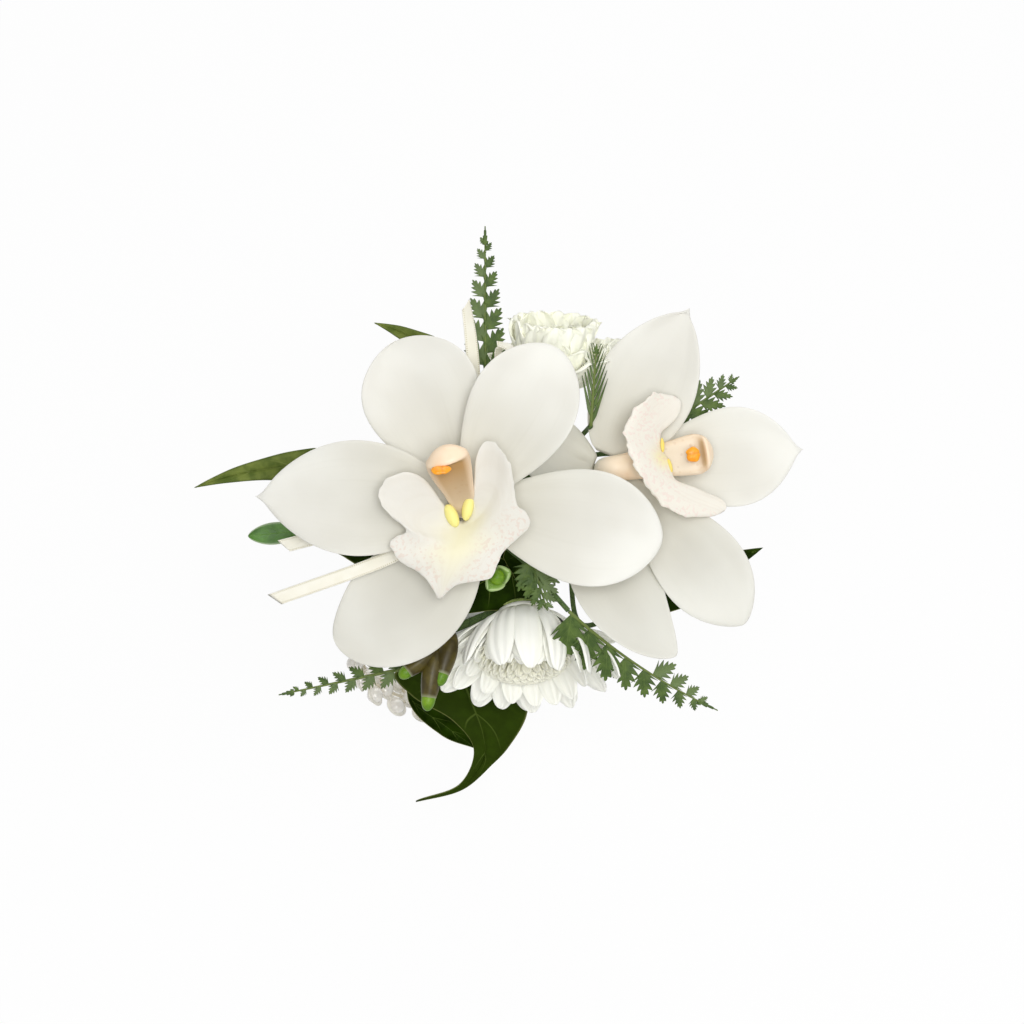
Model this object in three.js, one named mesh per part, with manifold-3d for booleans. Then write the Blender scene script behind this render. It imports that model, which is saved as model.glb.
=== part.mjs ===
// Wrist corsage: two white orchids, two white mums, fern, ivy, bud sprigs and ribbon, wired to a
// taped spine that a clip holds on a pearl stretch bracelet.
// Millimetres, +Z up. The origin is the middle of the clip's flat underside; the wrist runs along Y.
// The flowers are set out in a spray frame on the clip: x right, y up the face, z out of the face.

import * as THREE from 'three';
import { mergeVertices } from 'three/addons/utils/BufferGeometryUtils.js';
import Module from 'manifold-3d';

const wasm = await Module();
wasm.setup();

const degrees = Math.PI / 180;
const seatGap = 0.3; // between a piece and what carries it

// Bracelet sizes: pearls on a diamond lattice, three to a link, the middle one on an elastic cord
const pearlDiameter = 5.2;
const pearlGap = 1.35; // between neighbouring pearls
const linkCount = 15;
const clipCells = 4; // links left out for the clip
const threadDiameter = 2; // sewn thread that ties a link's pearls
const elasticDiameter = 1.2;
const endRise = 0.512; // of the end pearls over the elastic in the clip

// Clip and spine sizes
const clipLength = 26; // along the elastic
const clipWidth = 18; // along the wrist
const clipHeight = 3.4;
const clipCorner = 3;
const spineDiameter = 7;
const tabWidth = 8;
const tabThickness = 0.9;
const tabMouth = 50 * degrees; // left open between the two folded tabs
const stemDiameter = 2.2;

// Plant sizes
const sprayLean = 39 * degrees; // of the flowers' face to the front
const sprayShift = 0; // sideways from the clip
const sprayRise = 3.5; // up the face from the clip
const sprayDepth = 13; // out from the clip
const tepalThickness = 1.1;
const tepalRoot = 6; // width of a tepal where it joins the flower's heart
const heartDiameter = 8;
const heartDepth = 13;
const whorlStep = 5; // petals stand this far in front of sepals
const lipThickness = 1.1;
const rayThickness = 0.8;
const ringStep = 3.4;
const leafThickness = 0.7;
const fernThickness = 0.6;
const ribbonWidth = 4.2;
const ribbonThickness = 0.5;

function finish(color, roughness = 0.6, metalness = 0) {
  return new THREE.MeshStandardMaterial({ color, roughness, metalness });
}

const vector = (x, y, z) => new THREE.Vector3(x, y, z);

const corsage = new THREE.Group();
const spray = new THREE.Group();
spray.position.z = clipHeight;
spray.rotation.x = sprayLean;
spray.translateX(sprayShift);
spray.translateY(sprayRise);
spray.translateZ(sprayDepth);
spray.updateMatrixWorld(true);
corsage.add(spray);

function addMesh(parent, name, geometry, material) {
  const mesh = new THREE.Mesh(geometry, material);
  mesh.name = name;
  parent.add(mesh);
  return mesh;
}

// Solids built from triangles

function geometryFrom(points, triangles) {
  const geometry = new THREE.BufferGeometry().setFromPoints(points);
  geometry.setIndex(triangles);
  return geometry;
}

// A closed plate between two matching skins. Faces look out of the upper skin and the rim runs
// anticlockwise round it.
function plateBetween(upper, lower, faces, rim) {
  const count = upper.length;
  const triangles = [];
  for (const [a, b, c] of faces) {
    triangles.push(a, b, c, count + a, count + c, count + b);
  }
  rim.forEach((a, k) => {
    const b = rim[(k + 1) % rim.length];
    triangles.push(count + a, count + b, b, count + a, b, a);
  });
  return geometryFrom([...upper, ...lower], triangles);
}

// A thin sheet of surface(s, t), with s across from -1 to 1 and t along from 0 to 1.
function sheet(surface, across, along, thickness) {
  const nudge = 1e-3;
  const upper = [];
  const lower = [];
  for (let j = 0; j <= along; j++) {
    for (let i = 0; i <= across; i++) {
      const s = (2 * i) / across - 1;
      const t = j / along;
      const sideways = surface(s + nudge, t).sub(surface(s - nudge, t));
      const onwards = surface(s, t + nudge).sub(surface(s, t - nudge));
      const half = sideways.cross(onwards).normalize().multiplyScalar(thickness / 2);
      upper.push(surface(s, t).add(half));
      lower.push(surface(s, t).sub(half));
    }
  }
  const at = (i, j) => j * (across + 1) + i;
  const faces = [];
  for (let j = 0; j < along; j++) {
    for (let i = 0; i < across; i++) {
      faces.push([at(i, j), at(i + 1, j), at(i + 1, j + 1)]);
      faces.push([at(i, j), at(i + 1, j + 1), at(i, j + 1)]);
    }
  }
  const rim = [];
  for (let i = 0; i < across; i++) rim.push(at(i, 0));
  for (let j = 0; j < along; j++) rim.push(at(across, j));
  for (let i = across; i > 0; i--) rim.push(at(i, along));
  for (let j = along; j > 0; j--) rim.push(at(0, j));
  return plateBetween(upper, lower, faces, rim);
}

// A closed skin over equal rings of points, each ring anticlockwise about the way on.
function loft(rings) {
  const sides = rings[0].length;
  const points = rings.flat();
  const triangles = [];
  for (let j = 0; j + 1 < rings.length; j++) {
    for (let k = 0; k < sides; k++) {
      const a = j * sides + k;
      const b = j * sides + ((k + 1) % sides);
      triangles.push(a, b, b + sides, a, b + sides, a + sides);
    }
  }
  const last = (rings.length - 1) * sides;
  for (let k = 1; k + 1 < sides; k++) {
    triangles.push(0, k + 1, k, last, last + k, last + k + 1);
  }
  return geometryFrom(points, triangles);
}

// A midrib: a path that leaves its start at a heading in the face and a lift out of it, both turning
// evenly along its length. Gives the point, and the directions across and out of the blade, at t.
function midrib({ start, heading, length, sweep = 0, lift = 0, bend = 0, roll = 0, twist = 0 }) {
  const steps = 12;
  return (t) => {
    const point = vector(...start);
    for (let k = 0; k < steps; k++) {
      const middle = (t * (k + 0.5)) / steps;
      const turn = (heading + sweep * middle) * degrees;
      const rise = (lift + bend * middle) * degrees;
      const step = (length * t) / steps;
      point.x += step * Math.cos(rise) * Math.cos(turn);
      point.y += step * Math.cos(rise) * Math.sin(turn);
      point.z += step * Math.sin(rise);
    }
    const turn = (heading + sweep * t) * degrees;
    const rise = (lift + bend * t) * degrees;
    const onwards = vector(Math.cos(rise) * Math.cos(turn), Math.cos(rise) * Math.sin(turn), Math.sin(rise));
    const across = vector(Math.sin(turn), -Math.cos(turn), 0);
    across.applyAxisAngle(onwards, -(roll + twist * t) * degrees);
    return { point, across, out: across.clone().cross(onwards) };
  };
}

// A blade on a midrib: widest part of the way along, cupped by a share of its own half width.
function blade({ width, root, widest = 0.6, blunt = 0.65, cup = 0.15, ...path }, thickness, across, along) {
  const rib = midrib(path);
  const stretch = Math.log(0.5) / Math.log(widest);
  const surface = (s, t) => {
    const { point, across: side, out } = rib(t);
    const swell = Math.sin(Math.PI * Math.pow(Math.min(Math.max(0.985 * t, 0), 1), stretch));
    const half = (root / 2) * (1 - t) * (1 - t) + (width / 2) * Math.pow(Math.max(swell, 0), blunt);
    return point.addScaledVector(side, s * half).addScaledVector(out, cup * half * s * s);
  };
  return sheet(surface, across, along, thickness);
}

// A flat cut outline, x across and y along from 0 to the length, bent onto a midrib.
function bentCut(outline, path, thickness) {
  const rib = midrib(path);
  const skin = (side) =>
    outline.map((p) => {
      const { point, across, out } = rib(p.y / path.length);
      const fold = (path.fold ?? 0) * Math.abs(p.x);
      return point.addScaledVector(across, p.x).addScaledVector(out, fold + (side * thickness) / 2);
    });
  const faces = THREE.ShapeUtils.triangulateShape(outline, []);
  return plateBetween(skin(1), skin(-1), faces, outline.map((_, k) => k));
}

function solidOf(geometry) {
  const bare = geometry.clone();
  bare.deleteAttribute('normal');
  bare.deleteAttribute('uv');
  const merged = mergeVertices(bare, 1e-4);
  const mesh = new wasm.Mesh({
    numProp: 3,
    vertProperties: merged.attributes.position.array,
    triVerts: new Uint32Array(merged.index.array),
  });
  return new wasm.Manifold(mesh);
}

function geometryOf(solid) {
  const made = solid.getMesh();
  const geometry = new THREE.BufferGeometry();
  geometry.setAttribute('position', new THREE.BufferAttribute(made.vertProperties, 3));
  geometry.setIndex(new THREE.BufferAttribute(made.triVerts, 1));
  return geometry;
}

const joined = (solids) => solids.reduce((whole, piece) => whole.add(piece));
const fuse = (geometries) => geometryOf(joined(geometries.map(solidOf)));

function roundSection(diameter, sides) {
  const corners = [];
  for (let k = 0; k < sides; k++) {
    const angle = (2 * Math.PI * k) / sides;
    corners.push(new THREE.Vector2(Math.cos(angle), Math.sin(angle)).multiplyScalar(diameter / 2));
  }
  return new THREE.Shape(corners);
}

function tube(points, diameter, steps, sides = 6) {
  const extrudePath = new THREE.CatmullRomCurve3(points);
  return new THREE.ExtrudeGeometry(roundSection(diameter, sides), { steps, extrudePath });
}

// Bracelet

const rowStep = (pearlDiameter + pearlGap) / Math.SQRT2;
const linkPitch = 2 * rowStep;
const loopRadius = ((linkCount + clipCells) * linkPitch) / (2 * Math.PI); // to the pearls' middles
const slotHeight = clipHeight / 2; // of the elastic's middle inside the clip
const flatHalf = clipLength / 2 + 0.5; // straight run of elastic through the clip
const linkTurn = linkPitch / loopRadius;
const endTurn = ((linkCount - 0.5) / 2) * linkTurn; // of the end pearls from straight down
const loopCentre = slotHeight + endRise + loopRadius * Math.cos(endTurn);
const pearlWhite = finish('#f4f1e8', 0.2);
const elasticIvory = finish('#e6dcc2', 0.8);

// A pearl at an angle round the loop from straight down, and a number of rows across it.
function pearlAt(angle, row) {
  const x = loopRadius * Math.sin(angle);
  const z = loopCentre - loopRadius * Math.cos(angle);
  return vector(x, row * rowStep, z);
}

// The elastic: round the loop through the middle pearls, then straight through the clip.
function elasticPath() {
  const points = [];
  const steps = 2 * linkCount - 1;
  for (let k = 0; k <= steps; k++) points.push(pearlAt(endTurn * ((2 * k) / steps - 1), 0));
  for (const share of [1, 0.75, 0, -0.75, -1]) points.push(vector(share * flatHalf, 0, slotHeight));
  return new THREE.CatmullRomCurve3(points, true);
}

const elasticTube = (diameter) => new THREE.TubeGeometry(elasticPath(), 42, diameter / 2, 6, true);
addMesh(corsage, 'elastic_band', elasticTube(elasticDiameter), elasticIvory);

// Three pearls tied by thread, bored for the elastic.
function pearlLink(angle, bore) {
  const quarter = linkTurn / 4;
  const middle = pearlAt(angle - quarter, 0);
  const pieces = [];
  for (const centre of [middle, pearlAt(angle + quarter, -1), pearlAt(angle + quarter, 1)]) {
    const pearl = new THREE.SphereGeometry(pearlDiameter / 2, 8, 5);
    pearl.rotateY(-angle);
    pieces.push(pearl.translate(centre.x, centre.y, centre.z));
    if (centre !== middle) pieces.push(tube([middle, centre], threadDiameter, 1, 3));
  }
  return geometryOf(joined(pieces.map(solidOf)).subtract(bore));
}

const elasticBore = solidOf(elasticTube(elasticDiameter + 2 * seatGap));
for (let k = 0; k < linkCount; k++) {
  const angle = (k - (linkCount - 1) / 2) * linkTurn;
  const name = `pearl_link_${String(k + 1).padStart(2, '0')}`;
  addMesh(corsage, name, pearlLink(angle, elasticBore), pearlWhite.clone());
}

// Clip: a slotted plate with two tabs folded round the spine

const spineHeight = clipHeight + seatGap + spineDiameter / 2;

function clipSolid() {
  const half = clipLength / 2 - clipCorner;
  const side = clipWidth / 2 - clipCorner;
  const plate = new THREE.Shape();
  plate.absarc(half, side, clipCorner, 0, Math.PI / 2);
  plate.absarc(-half, side, clipCorner, Math.PI / 2, Math.PI);
  plate.absarc(-half, -side, clipCorner, Math.PI, 1.5 * Math.PI);
  plate.absarc(half, -side, clipCorner, 1.5 * Math.PI, 2 * Math.PI);
  const body = new THREE.ExtrudeGeometry(plate, { depth: clipHeight, bevelEnabled: false, curveSegments: 4 });
  const slotSide = elasticDiameter + 2 * seatGap;
  const slot = new THREE.BoxGeometry(2 * clipLength, slotSide, slotSide);
  slot.translate(0, 0, slotHeight);
  const inner = spineDiameter / 2 + seatGap;
  const from = Math.PI / 2 + tabMouth / 2;
  const tabs = new THREE.Shape();
  tabs.absarc(0, spineHeight, inner + tabThickness, from, from + 2 * Math.PI - tabMouth, false);
  tabs.absarc(0, spineHeight, inner, from + 2 * Math.PI - tabMouth, from, true);
  const fold = new THREE.ExtrudeGeometry(tabs, { depth: tabWidth, bevelEnabled: false, curveSegments: 16 });
  fold.translate(0, 0, -tabWidth / 2).rotateX(Math.PI / 2);
  return geometryOf(solidOf(body).subtract(solidOf(slot)).add(solidOf(fold)));
}

addMesh(corsage, 'clip_plate', clipSolid(), finish('#d9d9d6', 0.3, 0.8));

// Spine and stems: taped wires that run from the clip, up behind the flowers, to every head and leaf

const tapeGreen = finish('#46602f', 0.8);
const onClip = (x, y, z) => spray.worldToLocal(vector(x, y, z));
const spinePath = new THREE.CatmullRomCurve3([
  onClip(0, -clipWidth / 2 - 3, spineHeight),
  onClip(0, 0, spineHeight),
  onClip(0, clipWidth / 2 - 1, spineHeight),
  vector(7, 20, -7),
  vector(22, 35, -6),
  vector(38, 45, -6),
]);
const stems = [];

// A taped wire from a share of the way along the spine to just short of a point in the spray.
function stemTo(share, end, lean, diameter = stemDiameter, straight = 0.4) {
  const from = spinePath.getPoint(share);
  const way = vector(...lean).normalize();
  const tip = vector(...end).addScaledVector(way, -seatGap);
  const middle = tip.clone().addScaledVector(way, -straight * from.distanceTo(tip));
  stems.push(tube([from, from.clone().lerp(middle, 0.6), middle, tip], diameter, 4, 5));
}

// The way on at the start of a midrib, for a stem to meet it.
function wayOf({ heading, lift = 0 }) {
  const turn = heading * degrees;
  const rise = lift * degrees;
  return [Math.cos(rise) * Math.cos(turn), Math.cos(rise) * Math.sin(turn), Math.sin(rise)];
}

// Where a stem ends under a leaf: at its root, or below its face when the stem comes at a lean.
function footOf({ start }, thickness, lean) {
  if (!lean) {
    return start;
  }
  return vector(...start).addScaledVector(vector(...lean).normalize(), -0.5 * thickness).toArray();
}

// Orchids: five tepals, a lip and a column round a heart

const petalWhite = finish('#eeede4', 0.5);
const lipWhite = finish('#f3e7d6', 0.5);
const columnBlush = finish('#f1d3ae', 0.45);
const antherOrange = finish('#f29a12', 0.5);
const sepalDepth = -whorlStep / 2;
const petalDepth = whorlStep / 2;
const rootReach = heartDiameter / 2 + seatGap;

// Where a piece leaves the heart: on its edge, at a depth from its middle.
function rootOf(heart, heading, depth) {
  const angle = heading * degrees;
  return [heart[0] + rootReach * Math.cos(angle), heart[1] + rootReach * Math.sin(angle), heart[2] + depth];
}

function tepal(name, heart, depth, shape) {
  const path = { root: tepalRoot, ...shape, start: rootOf(heart, shape.heading, depth) };
  addMesh(spray, name, blade(path, tepalThickness, 4, 7), petalWhite.clone());
}

// A sheet hung on three rails: its left edge, its middle and its right edge.
function railSheet(name, from, rails, thickness, material) {
  const placed = (point) => vector(...point).add(vector(...from));
  const curve = (points) => new THREE.CatmullRomCurve3(points.map(placed));
  const [left, middle, right] = [rails.left, rails.middle, rails.right].map(curve);
  const surface = (s, t) => {
    const share = Math.min(Math.max(t, 0), 1);
    const spine = middle.getPoint(share);
    const toLeft = left.getPoint(share).sub(spine);
    const toRight = right.getPoint(share).sub(spine);
    const slope = toRight.clone().sub(toLeft).multiplyScalar(s / 2);
    return spine.add(slope).addScaledVector(toLeft.add(toRight), (s * s) / 2);
  };
  addMesh(spray, name, sheet(surface, 8, 12, thickness), material.clone());
}

// A column on its heart: rings on a path, each with a width across and a depth, closed at both ends.
function column(name, heart, rings) {
  const sides = 10;
  const centres = rings.map(({ at }) => vector(...at).add(vector(...heart)));
  const made = rings.map(({ half, across, onwards }, j) => {
    const way = vector(...onwards).normalize();
    const side = vector(...across).addScaledVector(way, -vector(...across).dot(way)).normalize();
    const over = way.clone().cross(side);
    const ring = [];
    for (let k = 0; k < sides; k++) {
      const angle = (2 * Math.PI * k) / sides;
      const point = centres[j].clone().addScaledVector(side, half[0] * Math.cos(angle));
      ring.push(point.addScaledVector(over, half[1] * Math.sin(angle)));
    }
    return ring;
  });
  addMesh(spray, name, loft(made), columnBlush.clone());
}

function antherCap(name, centre, size, turn) {
  const cap = new THREE.SphereGeometry(0.5, 8, 6).scale(...size);
  const mesh = addMesh(spray, name, cap, antherOrange.clone());
  mesh.position.set(...centre);
  mesh.rotation.set(...turn.map((angle) => angle * degrees));
}

const orchid1 = [8, 30, 30];
tepal('orchid_1_dorsal_sepal', orchid1, sepalDepth, {
  heading: 110, sweep: 6, length: 49, width: 35, widest: 0.66, blunt: 0.52, lift: 4, bend: -8, cup: 0.1,
});
tepal('orchid_1_right_petal', orchid1, petalDepth, {
  heading: 58, sweep: 4, length: 50, width: 31, widest: 0.62, blunt: 0.52, lift: 8, bend: -10, cup: 0.12,
});
tepal('orchid_1_left_petal', orchid1, petalDepth, {
  heading: 176, sweep: 4, length: 56, width: 33, widest: 0.52, lift: 8, bend: -16, cup: 0.14,
});
tepal('orchid_1_left_sepal', orchid1, sepalDepth, {
  heading: 254, sweep: -62, length: 55.5, width: 33, widest: 0.58, blunt: 0.55, lift: 0, bend: -6, cup: 0.08,
});
tepal('orchid_1_right_sepal', orchid1, sepalDepth, {
  heading: -12, sweep: 4, length: 56, width: 34, widest: 0.62, blunt: 0.55, lift: 6, bend: -6, cup: 0.1,
});
railSheet('orchid_1_lip', orchid1, {
  left: [
    [-5.8, -1.6, 6.5], [-15, 8.5, 13], [-24, 5, 14], [-17.5, -5.5, 11.5], [-22, -11, 10],
    [-13, -20, 9.5], [-8, -28, 7],
  ],
  middle: [
    [0, -5.4, 5.2], [0, -6, 6.5], [0, -8, 8], [-1, -11, 9], [-2, -14, 9.5], [-5, -21, 9], [-7.3, -28, 7],
  ],
  right: [
    [6.3, -1.2, 6.5], [6.5, 18.5, 15], [14, 10, 16], [15.5, 1.5, 12.5], [19.5, -6, 10.5],
    [8, -18, 10], [-6.5, -27.6, 7],
  ],
}, lipThickness, lipWhite);
const up = [0.976, 0.22, 0];
column('orchid_1_column', orchid1, [
  { at: [0, 0, -heartDepth / 2], half: [3, 3], across: up, onwards: [0, 0, 1] },
  { at: [0, 0, -heartDepth / 2 + 1], half: [4, 4], across: up, onwards: [0, 0, 1] },
  { at: [0, 0, 5], half: [4, 4], across: up, onwards: [0, 0, 1] },
  { at: [-1.5, 4, 10], half: [4.2, 3.8], across: up, onwards: [-0.3, 0.75, 0.8] },
  { at: [-3.6, 9.5, 14.5], half: [5.6, 4.2], across: up, onwards: [-0.3, 0.8, 0.6] },
  { at: [-5.2, 14, 17.5], half: [6, 4], across: up, onwards: [-0.3, 0.85, 0.45] },
  { at: [-6.3, 17, 18.6], half: [3.4, 2.2], across: up, onwards: [-0.3, 0.9, 0.3] },
]);
antherCap('orchid_1_anther_cap', [2.2, 39.6, 52.3], [5.5, 4.5, 3], [-50, 0, 10]);

const orchid2 = [51.5, 40.5, 9];
tepal('orchid_2_dorsal_sepal', orchid2, sepalDepth, {
  heading: 6, length: 54, width: 30, widest: 0.66, lift: -2, bend: 4, cup: 0.1,
});
tepal('orchid_2_upper_petal', orchid2, petalDepth - 1.5, {
  heading: 67, sweep: -8, length: 49, width: 28, widest: 0.55, lift: 6, bend: -8, cup: 0.12,
});
tepal('orchid_2_lower_petal', orchid2, petalDepth - 1.5, {
  heading: -43, sweep: -12, length: 59, width: 26, widest: 0.66, lift: 12, bend: -11, cup: 0.1,
});
tepal('orchid_2_right_sepal', orchid2, sepalDepth, {
  heading: -102, sweep: 68, length: 62, width: 23, widest: 0.55, lift: 20, bend: -9, cup: 0.1, roll: 18,
});
tepal('orchid_2_left_sepal', orchid2, sepalDepth, {
  heading: 161, length: 24, width: 20, widest: 0.6, lift: 4, cup: 0.1,
});
railSheet('orchid_2_lip', orchid2, {
  left: [
    [17.7, 23.8, 9], [12.5, 22.5, 13], [4.6, 12.5, 16], [6.4, 3.8, 18], [10.4, -3.9, 17],
    [18, -12.1, 14], [29.5, -16, 9],
  ],
  middle: [
    [20.9, 22, 8.5], [14.6, 17.1, 11], [9.7, 11, 14], [11.9, 3.8, 15.3], [15.1, -3.1, 14.8],
    [22.7, -9.2, 12], [34.6, -13.1, 8],
  ],
  right: [
    [24.4, 19.8, 7.5], [19, 13.8, 8.5], [15.3, 9.7, 10.3], [17.7, 3.7, 10.9], [20.2, -2.5, 11.2],
    [27.9, -6.3, 9], [39.3, -9.4, 6.5],
  ],
}, lipThickness, lipWhite);
const down = [0.18, -0.98, 0];
column('orchid_2_column', orchid2, [
  { at: [0, 0, -heartDepth / 2], half: [3, 3], across: down, onwards: [0, 0, 1] },
  { at: [0, 0, -heartDepth / 2 + 1], half: [4, 4], across: down, onwards: [0, 0, 1] },
  { at: [0, 0, 3.2], half: [4, 4], across: down, onwards: [0.1, 0.02, 1] },
  { at: [1.6, 0.3, 5.4], half: [4, 4], across: down, onwards: [0.7, 0.12, 0.7] },
  { at: [6, 1, 5.8], half: [4.2, 3.4], across: down, onwards: [0.97, 0.18, 0.12] },
  { at: [16, 2.8, 6.6], half: [5, 3.6], across: down, onwards: [0.97, 0.18, 0.12] },
  { at: [25, 4.4, 7.4], half: [6.2, 4], across: down, onwards: [0.97, 0.18, 0.08] },
  { at: [29.5, 5.2, 7.6], half: [6, 3.6], across: down, onwards: [0.97, 0.18, 0] },
  { at: [32, 5.6, 7.4], half: [3.4, 2], across: down, onwards: [0.97, 0.18, 0] },
]);
antherCap('orchid_2_anther_cap', [77, 45, 22.05], [4.5, 5.5, 3], [0, 4, 10]);

// Mums: a heart that carries the calyx and the disc, and two rings of rays round its neck

const calyxGreen = finish('#8fa05c', 0.7);

function lathe(profile, sides) {
  const points = profile.map(([r, z]) => new THREE.Vector2(r, z));
  return new THREE.LatheGeometry(points, sides).rotateX(Math.PI / 2);
}

// Rays fused to a collar. They close further by the swing on the side of the closing angle.
function rayRing({ count, collar, height, length, width, lift, bend, swing, closing, phase }) {
  const [inner, outer] = collar;
  const low = height - rayThickness;
  const high = height + rayThickness;
  const pieces = [lathe([[inner, low], [outer, low], [outer, high], [inner, high], [inner, low]], 16)];
  for (let k = 0; k < count; k++) {
    const heading = (360 * (k + phase)) / count;
    const near = Math.max(0, Math.cos((heading - closing) * degrees));
    const angle = heading * degrees;
    const start = [(outer - 1) * Math.cos(angle), (outer - 1) * Math.sin(angle), height];
    const path = { start, heading, length, lift: lift + swing[0] * near, bend: bend + swing[1] * near };
    const shape = { ...path, width, root: 0.45 * width, widest: 0.66, blunt: 0.6, cup: 0.2 };
    pieces.push(blade(shape, rayThickness, 2, 4));
  }
  return fuse(pieces);
}

function mum(name, { at, facing, scale, dome, closing, outer, inner, color }) {
  const head = new THREE.Group();
  head.position.set(...at);
  head.quaternion.setFromUnitVectors(vector(0, 0, 1), vector(...facing).normalize());
  spray.add(head);
  const neck = 4.5 * scale;
  const collar = [neck + seatGap, 8 * scale];
  const lowCollar = rayThickness;
  const highCollar = lowCollar + ringStep;
  const neckTop = highCollar + rayThickness + seatGap;
  const profile = [
    [0, -4 * scale - seatGap], [4 * scale, -3 * scale - seatGap], [7.5 * scale, -1.2 - seatGap],
    [7.5 * scale, -seatGap], [neck, -seatGap], [neck, neckTop], [0.8 * dome, neckTop + 0.15 * dome],
    [dome, neckTop + 0.43 * dome], [0.91 * dome, neckTop + 0.76 * dome],
    [0.55 * dome, neckTop + dome], [0, neckTop + 1.08 * dome],
  ];
  addMesh(head, `${name}_heart`, lathe(profile, 12), calyxGreen.clone());
  const low = { count: 11, collar, height: lowCollar, closing, phase: 0.5, ...outer };
  const high = { count: 9, collar, height: highCollar, closing, phase: 0, ...inner };
  addMesh(head, `${name}_outer_rays`, rayRing(low), finish(color, 0.6));
  addMesh(head, `${name}_inner_rays`, rayRing(high), finish(color, 0.6));
  const way = vector(...facing).normalize();
  return { end: vector(...at).addScaledVector(way, -4 * scale - seatGap).toArray(), way: way.toArray() };
}

const frontMum = mum('front_mum', {
  at: [25.5, -5, -1], facing: [0.06, -0.8, 0.6], scale: 1.1, dome: 9.2, closing: 90, color: '#f6f6ee',
  outer: { length: 26.5, width: 10, lift: 32, bend: 27, swing: [8, 56] },
  inner: { length: 19, width: 9, lift: 51, bend: 26, swing: [4, 50] },
});
const backMum = mum('back_mum', {
  at: [34.3, 65, 3], facing: [0.03, 0.97, 0.1], scale: 0.95, dome: 5.5, closing: -90, color: '#e9ecd2',
  outer: { length: 18.5, width: 8.6, lift: 21, bend: 52, swing: [4, 10] },
  inner: { length: 19, width: 8, lift: 53, bend: 33, swing: [4, 6] },
});

// Fern: a cut outline of paired leaflets on a rachis, shorter toward the tip

const fernGreen = finish('#4c6634', 0.6);

function frondOutline({ length, width, pairs, rachis = 0.7 }) {
  const side = [];
  const slant = 48 * degrees;
  for (let k = 0; k < pairs; k++) {
    const share = k / pairs;
    const y = length * (0.08 + 0.88 * share);
    const reach = (width / 2) * (1 - share) ** 0.75 + 0.8;
    const gap = (length * 0.88) / pairs;
    const thick = Math.min(0.3 * reach, 0.34 * gap);
    const out = (along, over) => {
      const x = rachis + along * Math.sin(slant) + over * Math.cos(slant);
      return [x, y + 0.5 * gap + along * Math.cos(slant) - over * Math.sin(slant)];
    };
    side.push([rachis, y + 0.2 * gap], out(0.55 * reach, thick), out(reach, 0), out(0.5 * reach, -thick));
    side.push([rachis, y + 0.8 * gap]);
  }
  const points = [[rachis, 0], ...side, [0, length]];
  const mirrored = [...side].reverse().map(([x, y]) => [-x, y]);
  return [...points, ...mirrored, [-rachis, 0]].map(([x, y]) => new THREE.Vector2(x, y));
}

function frond(name, path, share, lean, straight) {
  addMesh(spray, name, bentCut(frondOutline(path), path, fernThickness), fernGreen.clone());
  stemTo(share, footOf(path, fernThickness, lean), lean ?? wayOf(path), 1.6, straight);
}

frond('fern_top', { start: [14, 68, 10], heading: 90, length: 47, width: 12, pairs: 8, lift: 6 }, 0.62);
frond('fern_right_upper', {
  start: [71, 55, 0], heading: 34, length: 26, width: 14, pairs: 6, lift: 2,
}, 0.98);
frond('fern_lower_left', {
  start: [-10, -20, 14], heading: 192, length: 40, width: 11, pairs: 7, lift: -2,
}, 0.03);
frond('fern_lower_right', {
  start: [39.5, -2.5, 24.15], heading: -43, sweep: 18, length: 57, width: 16, pairs: 8, lift: -27, bend: 30,
}, 0.66, [0.45, -0.5, 0.3]);
frond('fern_centre', { start: [28, 13, 22], heading: -72, length: 16, width: 12, pairs: 4, lift: 4 }, 0.58);
frond('fern_between', {
  start: [46.2, 53.8, 16], heading: 86, length: 25, width: 8, pairs: 5, lift: 4,
}, 1, [0.1, 0.1, 1]);

// Ivy: a lobed outline, folded along its midrib

const ivyGreen = finish('#33501b', 0.45);

function ivyOutline({ length, width, tail = 0 }) {
  const body = length - tail;
  const side = [
    [0.08, 0], [0.3, 0.01], [0.46, 0.1], [0.5, 0.24], [0.4, 0.42], [0.3, 0.56], [0.2, 0.74],
  ].map(([x, y]) => [x * width, y * body]);
  side.push([0.06 * width, body * 0.93]);
  const mirrored = [...side].reverse().map(([x, y]) => [-x, y]);
  return [...side, [0, length], ...mirrored].map(([x, y]) => new THREE.Vector2(x, y));
}

function ivy(name, path, share, lean, straight) {
  addMesh(spray, name, bentCut(ivyOutline(path), path, leafThickness), ivyGreen.clone());
  stemTo(share, footOf(path, leafThickness, lean), lean ?? wayOf(path), 1.6, straight);
}

const lowLeaf = [5, -20, -13];
const lowLean = [0.3, -0.7, -0.65];
railSheet('ivy_bottom', lowLeaf, {
  left: [
    [-2, 1, 0], [-20, -3.5, -4.5], [-14.5, -10.5, -6], [-1.2, -18.7, -8], [5, -27.8, -11],
    [0.6, -39.1, -14], [-13.5, -44.6, -16],
  ],
  middle: [
    [0, 0, -0.5], [2, -6, -4], [5, -14, -7.5], [8, -23, -10], [8.3, -30.5, -12.5],
    [1.2, -40, -15], [-13.5, -44.9, -16.5],
  ],
  right: [
    [2, 1, 0], [21, -6, -3], [22, -16.2, -6.5], [16, -27.3, -10], [11, -32.8, -12.5],
    [1.6, -41, -15], [-13.6, -45.2, -16.5],
  ],
}, leafThickness, ivyGreen);
stemTo(0, footOf({ start: lowLeaf }, leafThickness, lowLean), lowLean, 1.6, 0.3);
ivy('ivy_left', { start: [-26, 41, 12], heading: 173, sweep: 28, length: 50, width: 11, fold: 0.3 }, 0.5);
ivy('ivy_top_left', {
  start: [6, 71, 13], heading: 138, sweep: 26, length: 30, width: 9, fold: 0.3,
}, 0.58, [-0.4, 0.8, 0.3], 0.15);
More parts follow.
